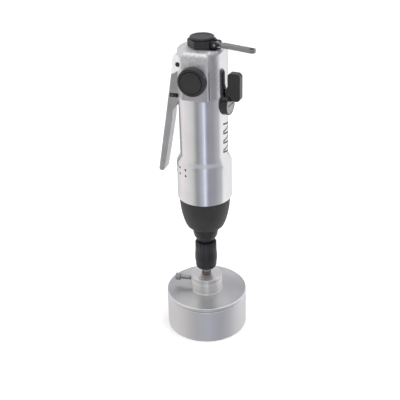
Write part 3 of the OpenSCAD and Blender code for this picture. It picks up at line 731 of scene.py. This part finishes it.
def make_housing():
    body = bare_object("housing_body", *housing_skin())
    ear_path = rounded([
        (-8, 245.2, 0), (-13.6, 245.2, 1), (-20.4, 239.6, 1.5), (-22.9, 239.9, 0.9), (-21.2, 255.2, 3.0),
        (-8, 255.2, 0),
    ])
    ears = plate("ears", ear_path, -EAR_Y, EAR_Y, UPRIGHT)
    soften(ears, 0.6, 4)
    cut(body, [ears], "UNION")
    flat_path = [(-26, 239.9), (-20.4, 239.6), (-13.4, 245.2), (-12.8, 246), (-12.8, 255.2), (-26, 255.2)]
    cut(body, [plate("flat", flat_path, EAR_Y, 30, UPRIGHT), plate("flat", flat_path, -30, -EAR_Y, UPRIGHT)])

    bore = [(0, NOSE_Z - 1), (16.5, NOSE_Z - 1), (16.5, 152.5), (19.6, 152.5), (19.6, 165.5), (16.5, 165.5),
            (16.5, 206), (0, 206)]
    top_port = [(0, 226), (4.8, 226), (4.8, 246.8), (7.05, 246.8), (7.05, TOP_Z + 1), (0, TOP_Z + 1)]
    side_port = [
        (0, 0), (4.5, 0), (4.5, 9), (5.72, 9), (5.72, 19), (6.6, 19), (6.9, PAD_Y + 1), (0, PAD_Y + 1)
    ]
    valve = [(0, -14.2), (4.45, -14.2), (4.45, -0.9), (0, -0.9)]
    reverse = [(0, 2.5), (6.5, 2.5), (6.5, 17.3), (8.8, 17.3), (8.8, 30), (0, 30)]
    feeds = [
        rod("feed", (-4.6, 0, 220), (-4.6, 0, 232), 1.8),
        rod("feed", (-1.5, 0, 217.5), (4, 0, 217.5), 1.3),
        rod("feed", REVERSE_TURN @ Vector((8.2, 3.5, 205)), REVERSE_TURN @ Vector((8.2, 3.5, 213)), 1.5),
        rod("feed", REVERSE_TURN @ Vector((8.2, -3.5, 205)), REVERSE_TURN @ Vector((8.2, -3.5, 213)), 1.5),
    ]
    cut(body, [
        block("slot", (-40, -SLOT_HALF, 209), (-13.2, SLOT_HALF, 255.8)),
        block("run_out", (-40, -SLOT_HALF, 190), (-17.6, SLOT_HALF, 209.1)),
        lathe_cutter(bore),
        lathe_cutter(top_port),
        lathe_cutter(side_port, side_on(UPRIGHT, SIDE_PORT_Z)),
        lathe_cutter(valve, side_on(ALONG_X, STEM_Z)),
        lathe_cutter(reverse, REVERSE_TURN @ side_on(ALONG_X, REVERSE_Z)),
        rod("pin_hole", LEVER_PIN + Vector((0, 15, 0)), LEVER_PIN - Vector((0, 15, 0)), 1.95),
        exhaust_cutter(),
        block("key", (-2, -18.2, 160), (2, -14.2, 190)),
        joined(feeds),
    ])
    add_cast_skin(body.data)
    finish_piece(body, "tool", LOOKS["cast_alu"], ("housing",), 32)
    weighted(body)


def add_cast_skin(mesh):
    """Marks the cast skin of the pad and left shoulder, painted shade along the pad's lower ledge and right side,
    and the milled ears.
    """
    co = np.zeros(len(mesh.vertices) * 3)
    mesh.vertices.foreach_get("co", co)
    x, y, z = co.reshape(-1, 3).T / MM

    def rise(value, start, end):
        t = np.clip((value - start) / (end - start), 0, 1)
        return t * t * (3 - 2 * t)

    head = rise(z, PAD_Z - 1.5, PAD_Z + 1.0)
    front = rise(-y, 6, 12) * rise(-x, -18.5, -13.5)
    shoulder = rise(z, TOP_Z - 7, TOP_Z - 3) * rise(-x, -7, 3)
    lower = 0.7 + 0.3 * rise(z, PAD_Z + 6, PAD_Z + 18)
    across = np.abs(y)
    ear = rise(across, EAR_Y - 0.7, EAR_Y - 0.1) * rise(EAR_Y + 0.12 - across, 0, 0.1) * rise(-x, 12.0, 12.7)
    # Painted shade: grey along the lower ledge of the pad and down its right side, where the body lies in shade.
    low_pad = (1 - rise(z, PAD_Z + 8, PAD_Z + 24)) * rise(-x, -11.3, -10.9) * 0.42
    beside_pad = rise(x, 11.2, 11.6) * rise(-x, -17.5, -14.5) * 0.55
    marks = {
        "cast_skin": head * np.maximum(front * lower, shoulder) * (1 - ear),
        "painted_shade": head * rise(-y, 6, 12) * np.maximum(low_pad, beside_pad) * (1 - ear),
        "milled": ear,
    }
    for name, values in marks.items():
        attribute = mesh.attributes.new(name, "FLOAT", "POINT")
        attribute.data.foreach_set("value", np.clip(values, 0, 1).astype(np.float32))


def make_grip_print():
    """Plain slanted bars printed down the right-hand side of the grip."""
    bars, top_z, pitch = 8, 198.5, 4.1
    half_angle, half_rise, half_width = 0.33, 1.3, 0.75
    steps = 6
    points, faces = [], []
    for i in range(bars):
        z = top_z - i * pitch
        lean = half_rise if i % 2 else -half_rise
        first = len(points)
        for k in range(steps + 1):
            side = 2 * k / steps - 1
            a = half_angle * side
            for r in (GRIP_R - 0.05, GRIP_R + 0.03):
                for dz in (-half_width, half_width):
                    points.append((r * math.cos(a), r * math.sin(a), z + lean * side + dz))
        for k in range(steps):
            b = first + 4 * k
            n = b + 4
            faces += [[b, n, n + 1, b + 1], [b + 2, b + 3, n + 3, n + 2]]
            faces += [[b, b + 2, n + 2, n], [b + 1, n + 1, n + 3, b + 3]]
        faces += [[first, first + 1, first + 3, first + 2]]
        end = first + 4 * steps
        faces += [[end, end + 2, end + 3, end + 1]]
    new_object("grip_print", points, faces, "tool", LOOKS["black_plastic"], (), 40)


# ---------- nose, sleeve and bit ----------

def make_nose():
    bell_z0, neck_r = 101.0, 14.9
    nose_r = corners("nose_cover")[1].y
    rise = NOSE_Z - bell_z0
    profile = [(8.7, bell_z0)]
    steps = 30
    for i in range(steps + 1):
        t = i / steps
        r = neck_r + (nose_r - neck_r) * math.sin(math.pi / 2 * t) ** 0.65
        profile.append((r, bell_z0 + rise * t))
    profile[1] = (neck_r - 0.5, bell_z0)
    profile.insert(2, (neck_r + 0.35, bell_z0 + 0.35))
    profile[-1] = (nose_r - 0.4, NOSE_Z)
    profile.insert(-1, (nose_r, NOSE_Z - 0.5))
    profile += [(15.7, NOSE_Z), (15.7, 105.2), (12.6, 102.2), (8.7, 102.2)]
    turned_raw("nose_cover", profile, "tool", LOOKS["rubber"], ("nose_cover",), 40)
    turned(
        "nose_cap",
        [(8.7, 100.9, 0), (11.1, 100.9, 0.3), (11.1, 96.4, 3), (10.3, 91.4, 4), (7.5, 86.2, 0.8),
         (6.3, 86.2, 0.2), (6.3, 88.9, 0), (8.7, 88.9, 0)],
        "tool", LOOKS["black_steel"], ("nose_cap",),
    )


def make_sleeve():
    """Quick-change sleeve: a barrel with a band of upright flutes under its top edge."""
    low, high = corners("holder_sleeve")
    outer = rounded([
        (8.6, low.z, 0.25), (9.2, low.z + 1.5, 0.9), (9.3, low.z + 4, 2), (high.x, low.z + 8, 3),
        (high.x, low.z + 12, 4), (9.4, low.z + 18, 3), (9.45, high.z - 1.7, 0.5), (8.7, high.z, 0.3),
        (6.06, high.z, 0), (6.06, 81.2, 0), (6.6, 81.2, 0), (6.6, 71.5, 0), (8, 71.5, 0), (8, low.z, 0),
    ])
    steps, flutes = 288, 18
    points, faces = lathe_mesh(outer, steps)

    def depth(r, a, z):
        window = min(max((z - (high.z - 5.6)) / 0.9, 0), 1)
        return 0.75 * window * max(0.0, math.cos(a * flutes)) ** 2 if r > 8.5 else 0.0

    points = fluted(points, depth)
    obj = new_object("holder_sleeve", points, faces, "sleeve", LOOKS["black_steel"], ("holder_sleeve",), 38)
    weighted(obj)


def make_spring(node, turns, wire, body, turn=None):
    """A coil of round wire, sized from its CAD node's box."""
    low, high = corners(node)
    along = 2 if turn is None else 0
    radius = (high.y - low.y) / 2 - wire
    first, last = low[along] + wire, high[along] - wire
    steps, sides = 40, 12
    count = turns * steps
    points, faces = [], []
    for i in range(count + 1):
        a = 2 * math.pi * i / steps
        for k in range(sides):
            b = 2 * math.pi * k / sides
            r = radius + wire * math.cos(b)
            height = first + (last - first) * i / count + wire * math.sin(b)
            points.append((r * math.cos(a), r * math.sin(a), height))
    for i in range(count):
        for k in range(sides):
            m = (k + 1) % sides
            faces.append([i * sides + k, i * sides + m, (i + 1) * sides + m, (i + 1) * sides + k])
    faces += [list(range(sides)), list(range(count * sides, (count + 1) * sides))]
    if turn is not None:
        points = [turn @ Vector(p) for p in points]
    obj = new_object(node, points, faces, body, LOOKS["spring_steel"], (node,), 40)
    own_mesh(obj)


BIT_ACROSS = 6.35


def hexagon(across):
    return [(across / math.sqrt(3) * math.cos(math.radians(30 + 60 * k)),
             across / math.sqrt(3) * math.sin(math.radians(30 + 60 * k))) for k in range(6)]


def make_bit():
    low, high = corners("hex_bit")
    bit = plate("hex_bit", hexagon(BIT_ACROSS), low.z, high.z)
    soften(bit, 0.3, 2)
    groove = lathe_cutter([(2.9, 74), (6, 74), (6, 78), (2.9, 78)])
    cut(bit, [groove])
    finish_piece(bit, "chuck", LOOKS["steel"], ("hex_bit",), 40)
    weighted(bit)

    low, high = corners("bit_collar")
    collar = turned("bit_collar", [(2, low.z, 0), (4.1, low.z, 0.3), (4.1, high.z, 0.8), (2, high.z, 0)],
                    "chuck", LOOKS["bronze"], ("bit_collar",), 6, 96)
    hex_hole = plate("hex", hexagon(BIT_ACROSS + 0.04), low.z - 1, high.z + 1)
    recut(collar, [hex_hole], "chuck", LOOKS["bronze"], 40)


# ---------- capping chuck ----------

def make_chuck():
    high = corners("chuck_lid")[1]
    rim = high.x
    lid = turned(
        "chuck_lid",
        [(0, 24.5, 0), (31, 24.5, 0.3), (31, 32, 0.1), (rim, 32, 0.45), (rim, 35.3, 0.55), (13.9, 35.3, 0.3),
         (13.9, high.z, 0.6), (4.1, high.z, 0.3), (3.72, 49.6, 0), (3.72, 38, 0), (0, 38, 0)],
        "chuck", LOOKS["turned_alu"], ("chuck_lid",), 5, 256,
    )
    hub = Vector((0, 0, LOCK_SCREW_Z))
    screw_hole = rod("screw_hole", LOCK_AXIS * 2 + hub, LOCK_AXIS * 30 + hub, 2.06)
    recut(lid, [screw_hole], "chuck", LOOKS["turned_alu"], 50)

    top = corners("chuck_cup")[1].z
    turned(
        "chuck_cup",
        [(24, 0, 0.6), (rim, 0, 0.8), (rim, top, 0.55), (31.06, top, 0.25), (31.06, 24, 0), (30, 24, 0),
         (30, 2.5, 0.3), (24, 2.5, 0.3)],
        "cup", LOOKS["turned_alu"], ("chuck_cup",), 5, 256,
    )
    turned(
        "silicone_ring",
        [(22, 2.55, 0.5), (29.9, 2.55, 0.4), (29.9, 21.4, 0.4), (19, 21.4, 0.4), (19, 6.6, 1.5)],
        "cup", LOOKS["silicone"], ("silicone_ring",), 5,
    )
    turned(
        "backing_pad", [(0, 21.6, 0), (22, 21.6, 0.5), (22, 24.48, 0.4), (0, 24.48, 0)],
        "chuck", LOOKS["rubber"], ("backing_pad",), 4,
    )


def make_lock_screw():
    """Knurled thumb screw: a threaded stem and a fluted head, along its own axis."""
    spin = Vector((0, 0, 1)).rotation_difference(LOCK_AXIS).to_matrix().to_4x4()
    place = Matrix.Translation((0, 0, LOCK_SCREW_Z)) @ spin
    profile = [(0, 3.75), (1.5, 3.75), (1.78, 4.2)]
    z, thread_pitch = 4.4, 0.6
    while z < 14.6:
        profile += [(1.76, z), (1.98, z + 0.2), (1.98, z + 0.3), (1.76, z + 0.5)]
        z += thread_pitch
    profile += [(1.98, 15.2), (1.98, 23.9)]
    profile += [(2.9, 24.05), (3.33, 24.5), (3.33, 28.1), (2.9, 28.58), (0, 28.58)]
    steps, flutes = 144, 18
    points, faces = lathe_mesh(profile, steps)

    def depth(r, a, h):
        return 0.3 * (0.5 + 0.5 * math.cos(a * flutes)) if 24.3 < h < 28.3 and r > 3 else 0.0

    points = [place @ Vector(p) for p in fluted(points, depth)]
    obj = new_object("lock_screw", points, faces, "lock_screw", LOOKS["steel"], ("lock_screw",), 40)
    weighted(obj)


# ---------- caps, hanger, throttle and reverse ----------

def make_caps():
    low, high = corners("top_cap")
    turned(
        "top_cap",
        [(0, low.z, 0), (6.5, low.z, 0.4), (6.5, 267.45, 0), (9.75, 267.45, 0.3), (9.75, high.z, 0.9),
         (6.6, high.z, 0.2), (6.2, high.z - 0.3, 0.3), (0, high.z - 0.3, 0)],
        "top_cap", LOOKS["black_plastic"], ("top_cap",), 6, 144,
    )
    face = PAD_Y + 0.05
    turned(
        "front_cap",
        [(0, 19.2, 0), (6.5, 19.2, 0.4), (6.5, face, 0), (11.4, face, 0.4), (11.4, face + 5.6, 1.4),
         (9.0, face + 5.6, 0.3), (8.7, face + 5.2, 0.2), (8.3, face + 5.2, 0.2), (8.3, PAD_Y + 6.6, 0.7),
         (0, PAD_Y + 6.6, 0)],
        "front_cap", LOOKS["black_plastic"], ("front_cap",), 6, 144, side_on(UPRIGHT, SIDE_PORT_Z),
    )


def hanger_frame():
    """Places shapes built along +X at the hanger's compass direction."""
    return Matrix.Rotation(math.atan2(HANGER_PIN.y, HANGER_PIN.x), 4, "Z")


def make_hanger():
    turn = hanger_frame()
    pin_r, pin_z = math.hypot(HANGER_PIN.x, HANGER_PIN.y), HANGER_PIN.z
    low, high = corners("hanger_collar")
    collar = plate("hanger_collar", hexagon(20.0), low.z, high.z)
    crown = lathe_cutter([
        (0, low.z - 1), (12.6, low.z - 1), (12.6, high.z - 1.0), (10.3, high.z + 0.35), (0, high.z + 0.35)
    ])
    cut(collar, [crown], "INTERSECT")
    eye_r = 2.6
    lug_path = [(8, pin_z - eye_r), (pin_r, pin_z - eye_r)]
    lug_path += [(pin_r + eye_r * math.sin(math.radians(a)), pin_z - eye_r * math.cos(math.radians(a)))
                 for a in range(10, 180, 10)]
    lug_path += [(pin_r, pin_z + eye_r), (8, pin_z + eye_r)]
    lug = plate("lug", lug_path, -4.2, 4.2, UPRIGHT)
    soften(lug, 0.35, 2)
    cut(collar, [lug], "UNION")
    cut(collar, [
        lathe_cutter([
            (0, low.z - 1), (8.06, low.z - 1), (8.06, 266.12), (9.4, 266.12), (9.4, 268), (0, 268)
        ]),
        block("gap", (10.6, -2.1, 255), (20.6, 2.1, 275)),
        rod("pin_hole", (pin_r, 10, pin_z), (pin_r, -10, pin_z), 1.25),
    ])
    collar.data.transform(turn)
    finish_piece(collar, "hanger_collar", LOOKS["black_steel"], ("hanger_collar",), 32)
    weighted(collar)

    pin_turn = turn @ Matrix.Translation((pin_r, 4.15, pin_z)) @ UPRIGHT
    turned("hanger_pin", [(0, 0, 0), (1.2, 0, 0.3), (1.2, 8.3, 0.3), (0, 8.3, 0)], "hanger_collar",
           LOOKS["steel"], ("hanger_pin",), 4, 48, pin_turn)

    reach, bar, pad, thick = 30.8, 3.0, 3.2, 1.3
    outline = rounded([(3.0, -2, 0), (4.6, -2, 0.8), (5.2, -bar, 0.8), (reach, -bar, 0), (reach, bar, 0),
                       (5.2, bar, 0.8), (4.6, 2, 0.8), (3.0, 2, 0)])
    arm = plate("hanger_arm", outline, -thick, thick)
    eye_path = [(0, -thick), (pad, -thick), (pad, thick), (0, thick)]
    eye = lathe_cutter(eye_path, Matrix.Translation((reach, 0, 0)))
    knuckle = rod("knuckle", (0, -2, 0), (0, 2, 0), 2.3)
    tongue = block("tongue", (0, -2, -thick), (4.5, 2, thick))
    cut(arm, [tongue, eye, knuckle], "UNION")
    cut(arm, [rod("hole", (reach, 0, -5), (reach, 0, 5), 1.8), rod("hole", (0, 10, 0), (0, -10, 0), 1.25)])
    soften(arm, 0.55, 3, 40)
    droop = math.radians(1)
    arm.data.transform(scaled(turn @ Matrix.Translation((pin_r, 0, pin_z)) @ Matrix.Rotation(droop, 4, "Y")))
    finish_piece(arm, "hanger_arm", LOOKS["steel"], ("hanger_arm",), 32)
    weighted(arm)


def scaled(matrix):
    """The same placement with its shift turned from millimetres into metres."""
    place = matrix.copy()
    place.translation = matrix.translation * MM
    return place


def make_throttle():
    """Steel lever: a solid grip below and a channel above, notched for the valve stem."""
    low = corners("throttle_lever")[0]
    outline = rounded([
        (-19.6, 250.6, 2), (-22.4, 244.5, 8), (-24.6, 238.5, 20), (-39.2, low.z, 2.4), (-34.3, low.z, 2.4),
        (-25.6, 198, 30), (-24.8, 206.5, 3), (-19.9, 212.5, 3), (-17.5, 221, 10), (-14.2, 244, 3),
        (-14.2, 250.6, 2.5),
    ], True, 10)
    lever = plate("throttle_lever", outline, -6, 6, UPRIGHT)
    soften(lever, 0.8, 4, 40)
    hollow = rounded([
        (-18.05, 262, 0), (-18.05, 250.2, 1), (-20.85, 244.5, 3), (-23.05, 238.5, 6), (-27.95, 209, 1),
        (0, 209, 0), (0, 262, 0),
    ], True, 10)
    cut(lever, [
        plate("hollow", hollow, -4.5, 4.5, UPRIGHT),
        block("notch", (-26.5, -7, STEM_Z - 1.8), (-5, 7, STEM_Z + 1.8)),
        rod("pin_hole", LEVER_PIN + Vector((0, 15, 0)), LEVER_PIN - Vector((0, 15, 0)), 1.98),
    ])
    finish_piece(lever, "throttle_lever", LOOKS["lever_steel"], ("throttle_lever",), 34)
    weighted(lever)

    pin_turn = Matrix.Translation(LEVER_PIN + Vector((0, 10.7, 0))) @ UPRIGHT
    turned("lever_pin", [(0, 0, 0), (1.93, 0, 0.4), (1.93, 21.4, 0.4), (0, 21.4, 0)], "tool",
           LOOKS["black_steel"], ("lever_pin",), 4, 64, pin_turn)

    turned(
        "throttle_plunger",
        [(0, -26.2, 0), (0.9, -26.2, 0.6), (1.6, -25.0, 0.4), (1.6, -7.6, 0), (2.9, -7.6, 0.1),
         (2.9, -6.2, 0.1), (0, -6.2, 0)],
        "plunger", LOOKS["brass"], ("throttle_plunger",), 4, 64, side_on(ALONG_X, STEM_Z),
    )


def make_reverse():
    """Thumb lever with a round hub and an upright fin, and the slotted screw that holds it."""
    hub_r, face = 8.5, 24.2
    across = REVERSE_TURN @ side_on(ALONG_X, REVERSE_Z)
    lever = lathe_cutter(
        [(0, 17.4), (8.1, 17.4), (hub_r, 17.8), (hub_r, face - 0.7), (8.42, face - 0.35), (8.15, face - 0.08),
         (7.95, face), (0, face)],
        across, 144,
    )
    lever.name = "reverse_lever"
    lever.data.name = "reverse_lever"
    fin_path = rounded([
        (20.8, 219.0, 0.4), (25.2, 219.0, 0.6), (26.2, 219.6, 0.6), (33.1, 219.6, 3.2), (33.1, 242.4, 3.2),
        (22.6, 242.4, 2.6), (22.6, 231.5, 1.2), (20.8, 228.5, 0.9),
    ], True, 8)
    fin = plate("fin", fin_path, -3, 3, REVERSE_TURN @ UPRIGHT)
    soften(fin, 0.35, 3, 40)
    cut(lever, [fin], "UNION")
    square = block("square", (16, -2.55, REVERSE_Z - 2.55), (23, 2.55, REVERSE_Z + 2.55))
    square.data.transform(REVERSE_TURN)
    recess = [(0, 22.55), (7.7, 22.55), (7.7, face + 0.15), (0, face + 0.15)]
    cut(lever, [lathe_cutter(recess, across, 144), square])
    finish_piece(lever, "reverse", LOOKS["gloss_black"], ("reverse_lever",), 34)
    weighted(lever)

    screw = turned(
        "reverse_screw",
        [(0, 14, 0), (1.5, 14, 0.3), (1.5, 22.6, 0.1), (7.6, 22.6, 0.1), (7.6, 24.0, 0.35), (0, 24.0, 0)],
        "reverse", LOOKS["steel"], ("reverse_screw",), 4, 128, across,
    )
    slot = block("slot", (23.3, -5.2, REVERSE_Z - 0.6), (26, 5.2, REVERSE_Z + 0.6))
    slot.data.transform(REVERSE_TURN)
    recut(screw, [slot], "reverse", LOOKS["steel"], 34)


make_housing()
make_grip_print()
make_nose()
make_sleeve()
make_spring("holder_spring", 5, 0.45, "spindle")
make_bit()
make_chuck()
make_lock_screw()
make_caps()
make_hanger()
make_throttle()
make_spring(
    "valve_spring", 4, 0.35, "tool",
    side_on(ALONG_X, STEM_Z),
)
make_reverse()


# ---------- stage: floor, studio light and camera ----------

VIEW_AZ = 19.5
CAMERA_AZ = math.radians(VIEW_AZ - 90)
CAMERA_PLACE = (0.2011, -0.5680, 0.4488)
CAMERA_LENS = 71.7
CAMERA_YAW = 0.41
CAMERA_DOWN = 28.27
CAMERA_ROLL = -1.3


def make_floor():
    """The table top under the cup; it follows the cup down when a joint lowers it."""
    bm = bmesh.new()
    bmesh.ops.create_circle(bm, cap_ends=True, segments=96, radius=6.0)
    floor = object_from_bm("floor", bm)
    look = Look("pale_floor", "floor")
    haze = look.noise(3.0, 3.0)
    look.set(
        Base_Color=look.blend_colours(look.ramp(haze, 0.0, 1.0), (0.90, 0.90, 0.90), (0.92, 0.92, 0.92)),
        Roughness=0.9,
    )
    floor.data.materials.append(look.material)
    floor.visible_glossy = False
    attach(floor, "cup")


def set_ramp(node, stops):
    ramp = node.color_ramp
    ramp.interpolation = "EASE"
    while len(ramp.elements) > 1:
        ramp.elements.remove(ramp.elements[-1])
    ramp.elements[0].position = stops[0][0]
    ramp.elements[0].color = (*stops[0][1], 1)
    for place, colour in stops[1:]:
        ramp.elements.new(place).color = (*colour, 1)


def heading(degrees):
    """A ramp place for a compass direction measured from the camera's side, positive to its right."""
    return (degrees + 180) / 360


SIDE_LIGHT = [
    (heading(-180), (0.44, 0.44, 0.46)),
    (heading(-110), (0.70, 0.68, 0.68)),
    (heading(-80), (0.66, 0.61, 0.62)),
    (heading(-58), (0.55, 0.56, 0.53)),
    (heading(-30), (0.26, 0.26, 0.27)),
    (heading(-12), (0.38, 0.39, 0.42)),
    (heading(0), (0.58, 0.62, 0.72)),
    (heading(3), (0.92, 0.94, 1.0)),
    (heading(6), (0.46, 0.49, 0.62)),
    (heading(16), (0.27, 0.27, 0.32)),
    (heading(40), (0.28, 0.28, 0.30)),
    (heading(70), (0.40, 0.40, 0.42)),
    (heading(90), (0.78, 0.78, 0.78)),
    (heading(130), (0.76, 0.75, 0.75)),
    (heading(180), (0.44, 0.44, 0.46)),
]
SKY_LIGHT = [
    (0.0, (0.75, 0.75, 0.76)),
    (0.35, (0.42, 0.42, 0.44)),
    (0.6, (0.48, 0.48, 0.50)),
    (0.85, (0.95, 0.95, 0.95)),
    (1.0, (1.0, 1.0, 1.0)),
]


def make_world():
    """White studio: bright all round, a grey gap on the camera's side and one narrow bright strip in it."""
    world = bpy.data.worlds.new("studio")
    bpy.context.scene.world = world
    world.use_nodes = True
    tree = world.node_tree
    tree.nodes.clear()

    def node(kind, **settings):
        made = tree.nodes.new(kind)
        for key, value in settings.items():
            setattr(made, key, value)
        return made

    coords = node("ShaderNodeTexCoord")
    turn = node("ShaderNodeVectorRotate", rotation_type="Z_AXIS")
    turn.inputs["Angle"].default_value = -CAMERA_AZ
    tree.links.new(coords.outputs["Generated"], turn.inputs["Vector"])
    split = node("ShaderNodeSeparateXYZ")
    tree.links.new(turn.outputs[0], split.inputs[0])
    compass = node("ShaderNodeMath", operation="ARCTAN2")
    tree.links.new(split.outputs[1], compass.inputs[0])
    tree.links.new(split.outputs[0], compass.inputs[1])
    share = node("ShaderNodeMapRange")
    share.inputs["From Min"].default_value = -math.pi
    share.inputs["From Max"].default_value = math.pi
    tree.links.new(compass.outputs[0], share.inputs["Value"])
    around = node("ShaderNodeValToRGB")
    tree.links.new(share.outputs[0], around.inputs[0])
    set_ramp(around, SIDE_LIGHT)
    above = node("ShaderNodeMapRange")
    above.inputs["From Min"].default_value = 0.30
    above.inputs["From Max"].default_value = 0.60
    tree.links.new(split.outputs[2], above.inputs["Value"])
    sky = node("ShaderNodeValToRGB")
    tree.links.new(split.outputs[2], sky.inputs[0])
    set_ramp(sky, SKY_LIGHT)
    mix = node("ShaderNodeMix", data_type="RGBA")
    tree.links.new(above.outputs[0], mix.inputs["Factor"])
    tree.links.new(around.outputs[0], mix.inputs[6])
    tree.links.new(sky.outputs[0], mix.inputs[7])
    seen = node("ShaderNodeBackground")
    seen.inputs["Color"].default_value = (1, 1, 1, 1)
    lit = node("ShaderNodeBackground")
    lit.inputs["Strength"].default_value = 1.25
    tree.links.new(mix.outputs[2], lit.inputs["Color"])
    paths = node("ShaderNodeLightPath")
    pick = node("ShaderNodeMixShader")
    tree.links.new(paths.outputs["Is Camera Ray"], pick.inputs[0])
    tree.links.new(lit.outputs[0], pick.inputs[1])
    tree.links.new(seen.outputs[0], pick.inputs[2])
    out = node("ShaderNodeOutputWorld")
    tree.links.new(pick.outputs[0], out.inputs["Surface"])


def add_area(name, place, aim, size, energy):
    light = bpy.data.lights.new(name, "AREA")
    light.shape = "DISK"
    light.size = size
    light.energy = energy
    obj = linked(name, light)
    obj.location = place
    obj.rotation_euler = (Vector(aim) - Vector(place)).to_track_quat("-Z", "Y").to_euler()
    obj.visible_glossy = False


def make_lights():
    add_area("overhead", (0.2, 0.3, 1.8), (0, 0, 0.1), 1.6, 14)
    add_area("front_left", (-0.9, -1.1, 0.9), (0, 0, 0.12), 0.9, 7)
    add_area("front_right", (1.3, -0.5, 0.8), (0, 0, 0.12), 0.9, 6)


def make_camera():
    camera = bpy.data.cameras.new("camera")
    camera.lens = CAMERA_LENS
    camera.sensor_width = 36
    obj = linked("camera", camera)
    obj.location = CAMERA_PLACE
    compass = Matrix.Rotation(math.radians(VIEW_AZ + CAMERA_YAW), 4, "Z")
    tilt = Matrix.Rotation(math.radians(90 - CAMERA_DOWN), 4, "X")
    roll = Matrix.Rotation(math.radians(CAMERA_ROLL), 4, "Z")
    obj.rotation_euler = (compass @ tilt @ roll).to_euler()
    camera.clip_start = 0.01
    bpy.context.scene.camera = obj


make_floor()
make_world()
make_lights()
make_camera()
bpy.context.scene.view_settings.view_transform = "Standard"
